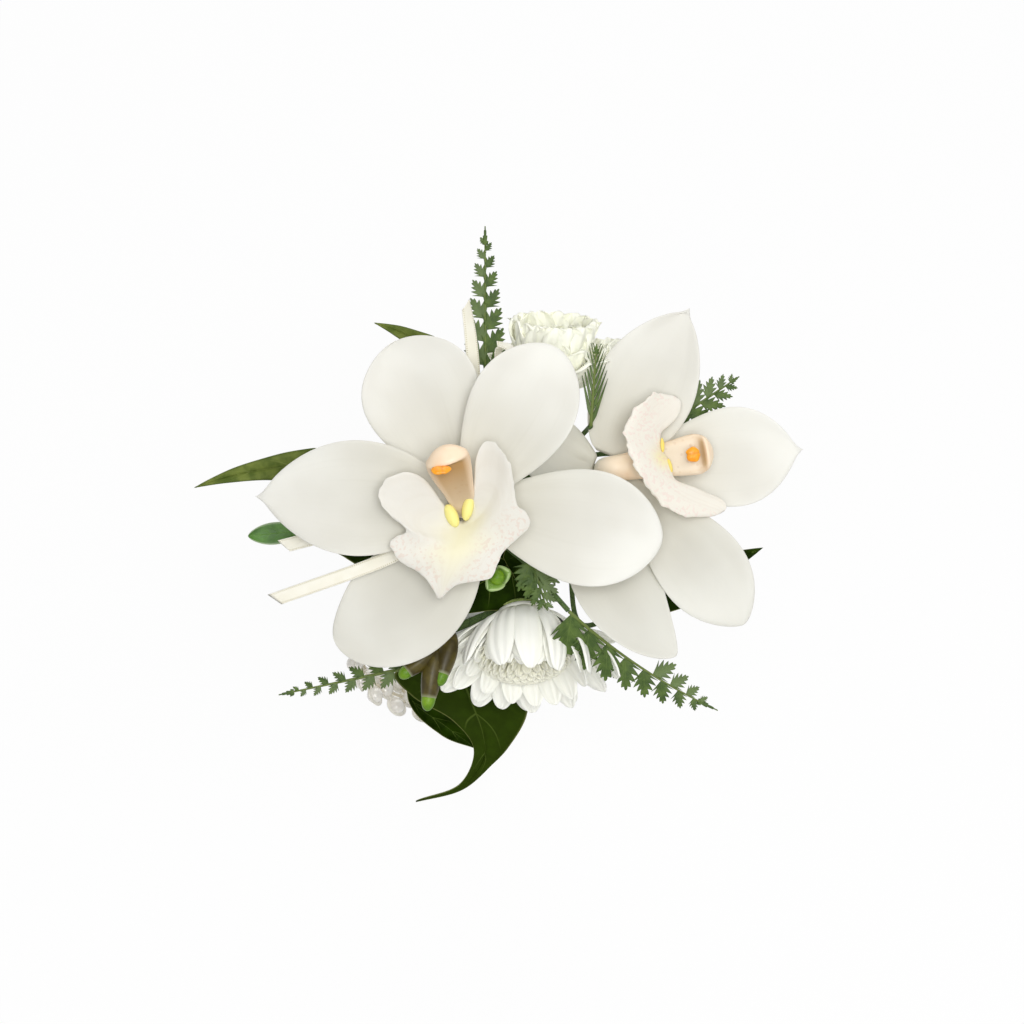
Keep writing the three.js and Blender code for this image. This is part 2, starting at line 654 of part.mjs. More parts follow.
ivy('ivy_behind_left', { start: [-10, 27, 18], heading: 184, length: 36, width: 38, fold: 0.1 }, 0.47);
ivy('ivy_centre', { start: [27, 17, 5], heading: -92, length: 15, width: 15, fold: 0.1, lift: 8 }, 0.66);
ivy('ivy_lower_right', { start: [63, 1, 3], heading: 23, length: 40, width: 15, fold: 0.2 }, 0.95);

// Bud sprigs: thick leaves fused on a twig

const sprigGreen = finish('#5b6236', 0.5);

function sprig(name, twig, leaves, share) {
  const points = twig.map((point) => vector(...point));
  const pieces = [tube(points, 1.6, 3)];
  for (const leaf of leaves) pieces.push(blade({ root: 1.6, widest: 0.55, ...leaf }, 1.3, 2, 4));
  addMesh(spray, name, fuse(pieces), sprigGreen.clone());
  const way = points[1].clone().sub(points[0]).toArray();
  stemTo(share, twig[0], way, 1.8);
}

sprig('sprig_lower', [[4, -4, 12], [4, -9, 16], [-1, -14.5, 19]], [
  { start: [-1, -14, 19], heading: 218, length: 14, width: 7, cup: 0.3, lift: 8 },
  { start: [-1, -14, 19], heading: 262, length: 19, width: 7.5, cup: 0.3, lift: 6 },
  { start: [4, -9, 16], heading: 256, length: 17.5, width: 7.5, cup: 0.3, lift: 18 },
], 0.06);
sprig('sprig_left', [[-28, 20, 12], [-36, 21.5, 13], [-42, 22, 13.5]], [
  { start: [-41.5, 22, 13.5], heading: 186, length: 17, width: 6.5, cup: 0.3 },
], 0.45);
sprig('sprig_centre', [[18.5, 8.5, 14], [19, 8.5, 19], [19, 8.5, 23]], [
  { start: [19, 8.5, 22], heading: 250, length: 8, width: 5.5, cup: 0.4, lift: 50 },
  { start: [19, 8.5, 22], heading: 70, length: 8, width: 5.5, cup: 0.4, lift: 60 },
], 0.42);

// Ribbon: flat straps on smooth paths, their face out of the spray unless a path turns it

const ribbonIvory = finish('#ebe4cf', 0.45);

function strap(name, points, faces, steps) {
  const path = new THREE.CatmullRomCurve3(points.map((point) => vector(...point)));
  const facing = new THREE.CatmullRomCurve3(faces.map((face) => vector(...face)));
  const surface = (s, t) => {
    const share = Math.min(Math.max(t, 0), 1);
    const onwards = path.getTangent(share);
    const across = onwards.clone().cross(facing.getPoint(share)).normalize();
    const beyond = onwards.multiplyScalar((t - share) * path.getLength());
    return path.getPoint(share).add(beyond).addScaledVector(across, (s * ribbonWidth) / 2);
  };
  addMesh(spray, name, sheet(surface, 1, steps, ribbonThickness), ribbonIvory.clone());
}

const outOfFace = [[0, 0, 1], [0, 0, 1]];
strap('ribbon_long_tail', [
  rootOf(orchid1, 222, 1), [-3, 20.5, 31.2], [-14, 14.2, 31.6], [-50.5, 0.8, 29],
], outOfFace, 8);
strap('ribbon_short_tail', [
  rootOf(orchid1, 194, -0.8), [-10, 26, 29.6], [-32, 21, 28], [-48, 17, 26],
], outOfFace, 8);
strap('ribbon_top_tail', [
  [10.5, 62, 15], [10.5, 70, 18], [9.5, 82, 20], [8, 92, 21],
], [[0, 0.3, 1], [0.4, 0, 1], [0.8, 0, 0.6]], 8);
strap('ribbon_top_loop', [
  [21, 58, 13], [18.5, 70, 18], [18.5, 78, 22], [21.5, 77, 23.5], [23.5, 69, 21], [24.5, 61, 16],
], [[0.8, 0, 0.6], [0.8, 0.2, 0.6], [0.3, -0.8, 0.5]], 10);
stemTo(0.6, [10.5, 62, 15], [0, 0.9, 0.35], 1.6);
stemTo(0.75, [21, 58, 13], [-0.2, 0.9, 0.35], 1.6);

// The flowers' own stems, then all stems and the spine as one taped piece

stemTo(0.52, [orchid1[0], orchid1[1], orchid1[2] - heartDepth / 2], [0, 0, 1], 3);
stemTo(0.97, [orchid2[0], orchid2[1], orchid2[2] - heartDepth / 2], [0, 0, 1], 3);
stemTo(0, frontMum.end, frontMum.way, 2.6, 0.05);
stemTo(0.9, backMum.end, backMum.way, 2.6);
const spineRun = { steps: 12, extrudePath: spinePath };
const spine = new THREE.ExtrudeGeometry(roundSection(spineDiameter, 10), spineRun);
addMesh(spray, 'stem_bundle', fuse([spine, ...stems]), tapeGreen);

export default corsage;
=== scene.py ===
import math
import re
import bmesh
import bpy
import numpy as np
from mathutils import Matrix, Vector


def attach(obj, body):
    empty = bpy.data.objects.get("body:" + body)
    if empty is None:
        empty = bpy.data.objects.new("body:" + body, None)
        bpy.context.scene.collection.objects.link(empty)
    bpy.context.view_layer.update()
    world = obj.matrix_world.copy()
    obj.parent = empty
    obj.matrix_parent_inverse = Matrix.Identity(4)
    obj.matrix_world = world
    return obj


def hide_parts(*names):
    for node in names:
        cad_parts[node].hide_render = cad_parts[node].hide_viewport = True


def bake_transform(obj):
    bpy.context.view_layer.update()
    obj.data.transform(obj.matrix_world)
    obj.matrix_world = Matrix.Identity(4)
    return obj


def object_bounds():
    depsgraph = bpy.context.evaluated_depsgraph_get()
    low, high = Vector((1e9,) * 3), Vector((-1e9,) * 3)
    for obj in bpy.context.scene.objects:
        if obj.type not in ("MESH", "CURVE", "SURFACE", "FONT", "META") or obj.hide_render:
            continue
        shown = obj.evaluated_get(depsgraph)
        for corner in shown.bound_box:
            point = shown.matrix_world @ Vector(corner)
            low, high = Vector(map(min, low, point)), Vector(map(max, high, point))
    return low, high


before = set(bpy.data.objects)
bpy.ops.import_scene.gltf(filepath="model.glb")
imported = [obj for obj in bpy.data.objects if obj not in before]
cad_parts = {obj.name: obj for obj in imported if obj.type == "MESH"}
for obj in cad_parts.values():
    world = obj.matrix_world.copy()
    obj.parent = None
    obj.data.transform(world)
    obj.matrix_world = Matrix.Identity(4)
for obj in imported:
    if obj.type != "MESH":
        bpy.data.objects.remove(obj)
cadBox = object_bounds()
print("frame loaded,", len(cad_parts), "nodes")

# The spray's own frame leans on the clip: x right, y up the face, z out of the face, in millimetres.
spraySet = {"body": "spray_on_clip", "lean": 39, "rise": 3.5, "depth": 13, "clipHeight": 3.4}
leanCos, leanSin = math.cos(math.radians(spraySet["lean"])), math.sin(math.radians(spraySet["lean"]))
fullTurn = 2 * math.pi

# Shapes: helpers that make grids of points


def onObject(points):
    # spray millimetres to object metres: slide by rise and depth, turn by the lean about x, lift by the clip
    x, y, z = np.moveaxis(np.asarray(points, float), -1, 0)
    y, z = y + spraySet["rise"], z + spraySet["depth"]
    return np.stack([x, y * leanCos - z * leanSin, spraySet["clipHeight"] + y * leanSin + z * leanCos], -1) / 1000


def onSpray(points):
    # object millimetres back to the spray's frame
    x, y, z = np.moveaxis(np.asarray(points, float), -1, 0)
    z = z - spraySet["clipHeight"]
    up, out = y * leanCos + z * leanSin, z * leanCos - y * leanSin
    return np.stack([x, up - spraySet["rise"], out - spraySet["depth"]], -1)


def inMetres(points):
    # object millimetres to metres
    return np.asarray(points, float) / 1000


def unit(v):
    # a vector over its own length
    v = np.asarray(v, float)
    return v / np.maximum(np.linalg.norm(v, axis=-1, keepdims=True), 1e-12)


def bellAt(t, place, reach):
    # 1 at a place, falling away as exp(-distance squared)
    return np.exp(-(((t - place) / reach) ** 2))


def risen(t, low, high):
    # 0 up to low, 1 from high, straight between
    return np.clip((t - low) / (high - low), 0, 1)


def edgeSteps(count):
    # places across a blade from -1 to 1, closer together toward both edges
    return np.sin(np.linspace(-math.pi / 2, math.pi / 2, count))


def tipSteps(count):
    # places along a blade from 0 to 1, closer together toward the tip
    return np.sin(np.linspace(0, math.pi / 2, count))


def spoke(far, angle, height):
    # a place round the z axis
    return [far * math.cos(angle), far * math.sin(angle), height]


def runOf(line):
    # length along a line up to each of its points
    return np.concatenate([[0], np.cumsum(np.linalg.norm(np.diff(line, axis=0), axis=1))])


def railPoint(points, t):
    # centripetal spline: each span is a cubic whose end slopes weigh the neighbours by the root of their distance
    p = np.asarray(points, float)
    p = np.concatenate([[2 * p[0] - p[1]], p, [2 * p[-1] - p[-2]]])
    spans = len(p) - 3
    t = np.clip(np.asarray(t, float), 0, 1) * spans
    k = np.minimum(t.astype(int), spans - 1)
    w = (t - k)[..., None]
    a, b, c, d = p[k], p[k + 1], p[k + 2], p[k + 3]
    gap = lambda u, v: np.maximum(np.linalg.norm(v - u, axis=-1, keepdims=True), 1e-6) ** 0.5
    da, db, dc = gap(a, b), gap(b, c), gap(c, d)
    m = ((b - a) / da - (c - a) / (da + db) + (c - b) / db) * db
    n = ((c - b) / db - (d - b) / (db + dc) + (d - c) / dc) * db
    return b + m * w + (3 * (c - b) - 2 * m - n) * w**2 + (2 * (b - c) + m + n) * w**3


def midrib(path, t):
    # a rib leaves its start at a heading in the face and a lift out of it, both turning evenly along its length;
    # gives the points, and the directions across and out of the blade, at every t
    steps = 240
    fine = np.linspace(0, 1, steps + 1)
    turn = np.radians(path["heading"] + path.get("sweep", 0) * fine)
    rise = np.radians(path.get("lift", 0) + path.get("bend", 0) * fine)
    way = np.stack([np.cos(rise) * np.cos(turn), np.cos(rise) * np.sin(turn), np.sin(rise)], -1)
    moves = (way[1:] + way[:-1]) / 2 * path["length"] / steps
    line = np.asarray(path["start"], float) + np.concatenate([[[0, 0, 0]], np.cumsum(moves, 0)])
    at = lambda values: np.stack([np.interp(t, fine, values[:, k]) for k in range(3)], -1)
    onwards = unit(at(way))
    turnAt = np.radians(path["heading"] + path.get("sweep", 0) * t)
    across = np.stack([np.sin(turnAt), -np.cos(turnAt), 0 * turnAt], -1)
    spin = -np.radians(path.get("roll", 0) + path.get("twist", 0) * t)[..., None]
    across = across * np.cos(spin) + np.cross(onwards, across) * np.sin(spin)
    return at(line), across, np.cross(across, onwards)


def bladeHalf(t, width, root, widest, blunt):
    # half width: a root that fades by (1-t) squared, plus a rounded swell that peaks at the widest place
    swell = np.sin(math.pi * np.clip(t, 0, 1) ** (math.log(0.5) / math.log(widest)))
    return root / 2 * (1 - t) ** 2 + width / 2 * np.maximum(swell, 0) ** blunt


def bladeSheet(shape, s, t, extra=0):
    # middle sheet of a blade: rib point, plus s half widths across, plus a cup of s squared out of its face
    point, across, out = midrib(shape, t)
    half = bladeHalf(t, shape["width"], shape["root"], shape["widest"], shape["blunt"])[:, None]
    lift = shape["cup"] * half * s[None] ** 2 + extra
    return point[:, None] + across[:, None] * (s[None] * half)[..., None] + out[:, None] * lift[..., None]


def marked(part, **marks):
    # gives a part named values at its points; a value that is not given is 0
    shape = part["points"].shape[:-1]
    part["marks"].update({k: np.broadcast_to(np.asarray(v, float), shape) for k, v in marks.items()})
    return part


def placed(part, move=onObject):
    # moves a part's points from their own frame to object metres
    part["points"] = move(part["points"])
    return part


def grid(points, u, v, ring=False, **marks):
    # rows of points with a place u, v on the surface for each; a ring's last column joins its first
    uv = np.stack([np.broadcast_to(value, points.shape[:2]) for value in (u, v)], -1)
    return marked({"points": points, "uv": uv, "marks": {}, "ring": ring}, **marks)


def skin(mid, thick, s, t, blunt=4):
    # closed shell: the middle sheet moved both ways along its normal by half a thickness that dies at every edge;
    # the columns run across the top and back under it
    normal = unit(np.cross(np.gradient(mid, axis=1), np.gradient(mid, axis=0)))
    edge = np.sqrt(np.clip(1 - np.abs(s) ** blunt, 0, 1))[None]
    end = np.sqrt(np.clip(1 - (2 * t - 1) ** 12, 0, 1))[:, None]
    half = (thick / 2 * edge * end)[..., None]
    back = slice(-2, 0, -1)
    points = np.concatenate([mid + normal * half, (mid - normal * half)[:, back]], 1)
    under = np.concatenate([0 * s, 0 * s[back] + 1])
    return grid(points, np.concatenate([s, s[back]]), t[:, None], True, under=under)


def pipe(line, radius, sides=12):
    # round section carried along a line: a side and an over direction turn with it by the least twist; low caps
    line = np.asarray(line, float)
    capRise, startSide = 0.35, [0.31, 0.17, 0.93]
    onwards = unit(np.gradient(line, axis=0))
    side = np.empty_like(line)
    side[0] = unit(np.cross(onwards[0], startSide))
    for k in range(1, len(line)):  # along the path only
        side[k] = unit(side[k - 1] - onwards[k] * np.dot(side[k - 1], onwards[k]))
    over = np.cross(onwards, side)
    angle = np.linspace(0, fullTurn, sides + 1)
    radius = np.broadcast_to(radius, len(line))[:, None, None]
    ring = side[:, None] * np.cos(angle)[:, None] + over[:, None] * np.sin(angle)[:, None]
    points = line[:, None] + radius * ring
    cap = lambda k, way: np.broadcast_to(line[k] + way * capRise * radius[k], points[:1].shape)
    points = np.concatenate([cap(0, -onwards[0]), points, cap(-1, onwards[-1])])
    run = runOf(line)
    return grid(points, angle / fullTurn, np.concatenate([run[:1], run, run[-1:]])[:, None])


def ball(centre, size, rows=17, cols=25, axes=np.eye(3)):
    # latitude and longitude over half sizes along three axes
    up, turn = np.linspace(0, math.pi, rows)[:, None], np.linspace(0, fullTurn, cols)
    local = np.stack([np.sin(up) * np.cos(turn), np.sin(up) * np.sin(turn), np.cos(up) + 0 * turn], -1)
    points = np.asarray(centre, float) + (local * np.asarray(size, float)) @ np.asarray(axes, float)
    return grid(points, turn / fullTurn, up / math.pi)


def lathe(profile, cols=33):
    # a profile of radius and height carried round its axis
    r, z = np.asarray(profile, float).T[..., None]
    angle = np.linspace(0, fullTurn, cols)
    points = np.stack([r * np.cos(angle), r * np.sin(angle), z + 0 * angle], -1)
    return grid(points, angle / fullTurn, np.linspace(0, 1, len(profile))[:, None])


def nodeOf(name):
    # a piece's name with its words and numbers apart is its CAD node's name
    return re.sub(r"([A-Z]|\d+)", r"_\1", name).lower()


def makePiece(name, parts, finishes, body=spraySet["body"], node=None):
    # grids of points become quads: each cell joins a row to the next, and a ring's last column to its first
    weld = 2e-6
    names = sorted({k for part in parts for k in part["marks"]})
    verts, quads, uvs, which, marks, base = [], [], [], [], {k: [] for k in names}, 0
    for part in parts:
        rows, cols = part["points"].shape[:2]
        index = np.arange(rows * cols).reshape(rows, cols) + base
        here, beside = (index, np.roll(index, -1, 1)) if part["ring"] else (index[:, :-1], index[:, 1:])
        cells = np.stack([here[:-1], beside[:-1], beside[1:], here[1:]], -1).reshape(-1, 4)
        verts.append(part["points"].reshape(-1, 3))
        uvs.append(part["uv"].reshape(-1, 2))
        quads.append(cells)
        which.append(np.full(len(cells), part.get("finish", 0)))
        for k in names:
            marks[k].append(np.broadcast_to(part["marks"].get(k, 0.0), (rows, cols)).reshape(-1))
        base += rows * cols
    verts, quads, uvs = np.concatenate(verts), np.concatenate(quads), np.concatenate(uvs)
    mesh = bpy.data.meshes.new(name)
    mesh.from_pydata(verts.tolist(), [], quads.tolist())
    mesh.uv_layers.new(name="UVMap").data.foreach_set("uv", uvs[quads.ravel()].astype(np.float32).ravel())
    for k in names:
        values = np.concatenate(marks[k]).astype(np.float32)
        mesh.attributes.new(k, "FLOAT", "POINT").data.foreach_set("value", values)
    mesh.polygons.foreach_set("material_index", np.concatenate(which).astype(np.int32))
    work = bmesh.new()
    work.from_mesh(mesh)
    bmesh.ops.remove_doubles(work, verts=work.verts, dist=weld)
    bmesh.ops.recalc_face_normals(work, faces=work.faces)
    work.to_mesh(mesh)
    work.free()
    mesh.polygons.foreach_set("use_smooth", np.ones(len(mesh.polygons), bool))
    for finish in finishes:
        mesh.materials.append(finish)
    piece = bpy.data.objects.new(name, mesh)
    bpy.context.scene.collection.objects.link(piece)
    if body:
        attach(piece, body)
    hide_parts(node or nodeOf(name))
    return piece


def makeAll(make, table):
    # one piece, or one flower head, for each row of a table
    for name, look in table.items():
        make(name, look)


# Finishes: helpers for node trees


def tone(code):
    # a written colour to the shader's linear numbers
    c = np.array([int(code[k:k + 2], 16) for k in (1, 3, 5)]) / 255
    return (*np.where(c <= 0.04045, c / 12.92, ((c + 0.055) / 1.055) ** 2.4), 1.0)


def addNode(tree, kind, inputs, out=0, **settings):
    # a node with its inputs linked or set; gives one of its outputs
    made = tree.nodes.new(kind)
    for key, value in settings.items():
        setattr(made, key, value)
    for key, value in inputs.items():
        if isinstance(value, bpy.types.NodeSocket):
            tree.links.new(value, made.inputs[key])
        else:
            made.inputs[key].default_value = value
    return made.outputs[out] if made.outputs else made


class Finish:
    # a material and short names for the nodes it is made of
    def __init__(self, name, **sockets):
        self.material = bpy.data.materials.new(name)
        self.material.use_nodes = True
        self.tree = self.material.node_tree
        self.shader = self.tree.nodes["Principled BSDF"]
        for socket, value in sockets.items():
            self.shader.inputs[socket.replace("_", " ")].default_value = value
        self.shader.inputs["Subsurface Radius"].default_value = (1.0, 0.95, 0.85)

    def node(self, kind, inputs, out=0, **settings):
        return addNode(self.tree, kind, inputs, out, **settings)

    def math(self, operation, a, b=0.0):
        return self.node("ShaderNodeMath", {0: a, 1: b}, operation=operation)

    def times(self, a, b):
        return self.math("MULTIPLY", a, b)

    def plus(self, a, b):
        return self.math("ADD", a, b)

    def minus(self, a, b):
        return self.math("SUBTRACT", a, b)

    def away(self, a):
        return self.math("ABSOLUTE", a)

    def wave(self, value, count):
        # a sine that repeats count times for each 1 of the value
        return self.math("SINE", self.times(value, fullTurn * count))

    def ease(self, value, low, high, to=(0.0, 1.0)):
        # a smooth step from low to high
        inputs = {0: value, 1: low, 2: high, 3: to[0], 4: to[1]}
        return self.node("ShaderNodeMapRange", inputs, interpolation_type="SMOOTHSTEP")

    def mix(self, share, a, b):
        a, b = (tone(c) if isinstance(c, str) else c for c in (a, b))
        return self.node("ShaderNodeMix", {0: share, 6: a, 7: b}, out=2, data_type="RGBA")

    def mark(self, name):
        # a value that a part was given at its points
        return self.node("ShaderNodeAttribute", {}, out=2, attribute_name=name)

    def place(self):
        # object coordinates
        return self.node("ShaderNodeTexCoord", {}, out=3)

    def across(self):
        # the two surface coordinates
        parts = self.node("ShaderNodeSeparateXYZ", {0: self.node("ShaderNodeUVMap", {}, uv_map="UVMap")})
        return parts.node.outputs[0], parts.node.outputs[1]

    def joined(self, x, y, z=0.0):
        return self.node("ShaderNodeCombineXYZ", {0: x, 1: y, 2: z})

    def noise(self, vector, scale, detail=2.0, rough=0.5):
        inputs = {"Vector": vector, "Scale": scale, "Detail": detail, "Roughness": rough}
        return self.node("ShaderNodeTexNoise", inputs)

    def cloud(self, scale, detail, low, high, light, shade):
        # two colours mixed by noise in place
        spread = self.ease(self.noise(self.place(), scale, detail), low, high)
        return self.mix(spread, light, shade)

    def bump(self, height, strength, distance):
        inputs = {"Height": height, "Strength": strength, "Distance": distance}
        self.use("Normal", self.node("ShaderNodeBump", inputs))

    def use(self, socket, value):
        self.tree.links.new(value, self.shader.inputs[socket])


def streaks(f, count, seed, stretch=1.6):
    # noise drawn out along a blade, so that it reads as lengthwise veins
    u, v = f.across()
    return f.noise(f.joined(f.times(u, count), f.times(v, stretch), seed), 1.0, 3.0)


def bandOf(f, value, place, reach):
    # 1 at a place, fading to 0 at a reach on both sides
    return f.ease(f.away(f.minus(value, place)), reach, 0.0)


def petalFinish(name, look):
    # clouded white, veins that fade to the tip, painted shade in a trough along the middle, and a darker root that
    # is partly the petal's own greyish base and partly painted shade
    f = Finish(name, Roughness=0.44, Subsurface_Weight=0.15, Subsurface_Scale=0.003, Sheen_Weight=0.05,
               Specular_IOR_Level=0.35)
    u, v = f.across()
    veins = streaks(f, look["veins"], look["seed"])
    tinted = f.cloud(45.0, 2.0, 0.3, 0.75, look["light"], look["shade"])
    shown = f.times(f.ease(veins, 0.5, 0.72), f.ease(v, 1.0, 0.25, (0.0, look["depth"])))
    lined = f.mix(shown, tinted, look["line"])
    # painted shade: the middle colour darkens a trough down the middle of the blade, fading toward the tip
    trough = f.times(f.ease(f.away(u), 0.85, 0.0), f.ease(v, 1.0, 0.55))
    deep = f.mix(f.times(trough, look["troughShadeDepth"]), lined, look["middle"])
    # the root colour darkens the base: partly the petal's own greyish tone, partly painted shade
    f.use("Base Color", f.mix(f.times(f.ease(v, 0.9, 0.15), 0.7), deep, look["root"]))
    f.bump(veins, 0.03, 0.0004)
    return f.material


def lipFinish(name, look):
    # veined white with a yellow glow, blotches where they are marked, and yellow knobs
    f = Finish(name, Roughness=0.46, Subsurface_Weight=0.15, Subsurface_Scale=0.002, Specular_IOR_Level=0.35)
    veins = streaks(f, 10.0, look["seed"])
    ground = f.mix(f.times(f.ease(veins, 0.4, 0.7), 0.3), look["light"], look["shade"])
    glowing = f.mix(f.times(f.mark("glow"), look["glowDepth"]), ground, look["glow"])
    speck = f.noise(f.place(), look["speckScale"], 2.0, 0.45)
    spot = f.times(f.ease(speck, look["speckFrom"], look["speckFrom"] + 0.07), f.mark("blotch"))
    spotted = f.mix(f.times(spot, look["speckDepth"]), glowing, look["speck"])
    f.use("Base Color", f.mix(f.mark("knob"), spotted, look["knob"]))
    f.bump(f.plus(veins, f.times(speck, 0.5)), 0.12, 0.0005)
    return f.material


def columnFinish(name, look):
    # blushing hood, pale root, and a speckled hollow that turns tan toward the hood, the tan partly the column's own
    # colour and partly painted shade of the recess
    f = Finish(name, Roughness=0.4, Subsurface_Weight=0.2, Subsurface_Scale=0.002, Specular_IOR_Level=0.4)
    v = f.across()[1]
    cloud = f.noise(f.place(), 130.0, 2.0)
    hood = f.mix(f.ease(cloud, 0.35, 0.7), look["light"], look["blush"])
    base = f.mix(f.ease(v, 0.5, 0.15), hood, look["root"])
    dots = f.node("ShaderNodeTexVoronoi", {"Vector": f.place(), "Scale": 520.0})
    # the hollow's tan toward the hood is partly its own colour and partly painted shade of the recess
    inside = f.mix(f.mark("tan"), look["throat"], look["inside"])
    speckled = f.mix(f.times(f.ease(dots, 0.3, 0.14), 0.22), inside, look["speck"])
    f.use("Base Color", f.mix(f.mark("hollow"), base, speckled))
    f.bump(cloud, 0.1, 0.0005)
    return f.material


def antherFinish(name, look):
    # grainy orange, darker along the seam
    f = Finish(name, Roughness=0.34, Subsurface_Weight=0.15, Subsurface_Scale=0.0015)
    grain = f.noise(f.place(), 700.0, 3.0)
    ground = f.mix(f.ease(grain, 0.35, 0.7), look["light"], look["deep"])
    f.use("Base Color", f.mix(f.mark("seam"), ground, look["seam"]))
    f.bump(grain, 0.2, 0.0003)
    return f.material


def rayFinish(name, look):
    # lengthwise grooves by a cosine across, with painted shade in them, a tinted root, and the core colour where it
    # is marked
    f = Finish(name, Roughness=0.5, Subsurface_Weight=0.15, Subsurface_Scale=0.002, Specular_IOR_Level=0.35)
    u, v = f.across()
    grooves = f.math("COSINE", f.times(u, look["grooves"] * math.pi))
    veins = streaks(f, 9.0, 3.0)
    # painted shade: the groove colour darkens the rays along their grooves
    ground = f.mix(f.times(f.ease(grooves, 0.2, 1.0), 0.3), look["light"], look["groove"])
    based = f.mix(f.times(f.ease(v, look["rootEnd"], 0.0), 0.8), ground, look["root"])
    f.use("Base Color", f.mix(f.mark("core"), based, look["core"]))
    f.bump(f.plus(grooves, f.times(veins, 0.8)), 0.35, 0.0004)
    return f.material


def leafFinish(name, **changes):
    # clouded green with a midrib and slanted side ribs, a rim, a tip, a paler back and stalk
    look = {**leafPlain, **changes}
    f = Finish(name, Roughness=look["roughness"], Specular_IOR_Level=look["shine"], Subsurface_Weight=0.05,
               Subsurface_Scale=0.001)
    u, v = f.across()
    away = f.away(u)
    cloud = f.noise(f.place(), look["cloud"], 3.0)
    ground = f.mix(f.ease(cloud, 0.32, 0.7), look["deep"], look["light"])
    slanted = f.minus(f.times(v, look["ribs"]), f.times(away, look["slant"]))
    saw = f.away(f.minus(f.math("FRACT", slanted), 0.5))
    side = f.times(f.ease(saw, look["ribWidth"], 0.0), f.ease(away, 1.0, 0.15))
    rib = f.math("MAXIMUM", f.ease(away, look["midWidth"], 0.0), side)
    veined = f.mix(f.times(rib, look["veinDepth"]), ground, look["vein"])
    rim = f.times(f.ease(away, 1.0 - look["rimWidth"], 1.0), look["rimDepth"])
    rimmed = f.mix(rim, veined, look["rim"])
    tip = f.times(f.ease(v, look["tipFrom"], look["tipFrom"] + 0.12), look["tipDepth"])
    tipped = f.mix(tip, rimmed, look["tip"])
    backed = f.mix(f.times(f.mark("under"), look["backDepth"]), tipped, look["back"])
    f.use("Base Color", f.mix(f.mark("stalk"), backed, look["stalk"]))
    f.bump(f.minus(f.times(cloud, 0.6), rib), 0.3, 0.0004)
    return f.material


def ribbonFinish(name, look):
    # plain weave by two waves, with ladder stitches along both edges
    f = Finish(name, Roughness=0.5, Sheen_Weight=0.3, Sheen_Roughness=0.4, Specular_IOR_Level=0.35)
    u, v = f.across()
    weft = f.wave(v, look["weft"])
    weave = f.times(weft, f.wave(u, look["warp"]))
    stitch = f.times(bandOf(f, f.away(u), look["stitchAt"], 0.17), f.ease(weft, -0.2, 0.5))
    cloth = f.cloud(160.0, 3.0, 0.3, 0.7, look["light"], look["shade"])
    woven = f.mix(f.times(f.ease(weave, -0.5, 1.0), 0.2), cloth, look["thread"])
    f.use("Base Color", f.mix(f.times(stitch, 0.75), woven, look["stitch"]))
    f.bump(f.plus(weave, f.times(stitch, 1.5)), 0.12, 0.0002)
    return f.material


def pearlFinish(name, look):
    # glossy pearl, matt where it is marked as thread
    f = Finish(name, Roughness=0.16, Coat_Weight=0.6, Coat_Roughness=0.06, Sheen_Weight=0.15,
               Subsurface_Weight=0.1, Subsurface_Scale=0.001)
    cloud = f.noise(f.place(), 260.0, 2.0)
    body = f.mix(f.ease(cloud, 0.3, 0.7), look["light"], look["blush"])
    f.use("Base Color", f.mix(f.mark("thread"), body, look["thread"]))
    f.use("Roughness", f.ease(f.mark("thread"), 0.0, 1.0, (0.16, 0.7)))
    f.bump(cloud, 0.05, 0.0003)
    return f.material


def elasticFinish(name, look):
    # ribs along the cord, crossed by picks, with painted shade in the grooves between the ribs
    f = Finish(name, Roughness=0.75, Sheen_Weight=0.2)
    u, v = f.across()
    picks = f.ease(f.wave(v, look["picks"]), -1.0, 1.0, (0.4, 1.0))
    knit = f.times(f.wave(u, look["ribs"]), picks)
    worn = f.cloud(220.0, 3.0, 0.3, 0.7, look["light"], look["shade"])
    # painted shade: the groove colour darkens the knit where it is low
    f.use("Base Color", f.mix(f.times(f.ease(knit, -1.0, 0.2, (1.0, 0.0)), 0.4), worn, look["groove"]))
    f.bump(knit, 0.5, 0.0003)
    return f.material


def tapeFinish(name, look):
    # crepe tape wound in a spiral: the lap repeats once round and once each step along, with painted shade just
    # below each lap's edge
    f = Finish(name, Roughness=0.72, Specular_IOR_Level=0.3)
    u, v = f.across()
    wind = f.math("FRACT", f.plus(f.times(v, 1 / look["lap"]), u))
    crepe = f.noise(f.joined(f.times(u, 22.0), f.times(v, 1.1)), 1.0, 3.0)
    body = f.mix(f.ease(crepe, 0.3, 0.72), look["deep"], look["light"])
    # painted shade: the edge colour darkens a band just below each lap's raised edge
    f.use("Base Color", f.mix(f.times(f.ease(wind, 0.16, 0.0), 0.6), body, look["edge"]))
    f.bump(f.plus(f.times(f.ease(wind, 0.0, 0.16), 0.8), f.times(crepe, 0.6)), 0.5, 0.0004)
    return f.material


def clipFinish(name, look):
    # metal brushed along x
    f = Finish(name, Metallic=1.0, Roughness=0.32)
    drawn = f.node("ShaderNodeMapping", {0: f.place(), "Scale": (40.0, 2600.0, 2600.0)})
    brushed = f.noise(drawn, 1.0, 3.0)
    f.use("Base Color", f.mix(f.ease(brushed, 0.3, 0.7), look["light"], look["shade"]))
    f.use("Roughness", f.ease(brushed, 0.2, 0.8, (0.24, 0.42)))
    f.bump(brushed, 0.12, 0.0001)
    return f.material


# middle is the painted shade colour of the trough; root is partly the petal's own greyish base and partly painted
# shade
petalLook = {"light": "#e9e8e0", "shade": "#dfddd4", "line": "#cfcdc0", "root": "#c9c6b8", "middle": "#c9c7bd",
             "troughShadeDepth": 0.34, "veins": 11.0, "depth": 0.22, "seed": 1.0}
petalWhite = petalFinish("petal_white", petalLook)
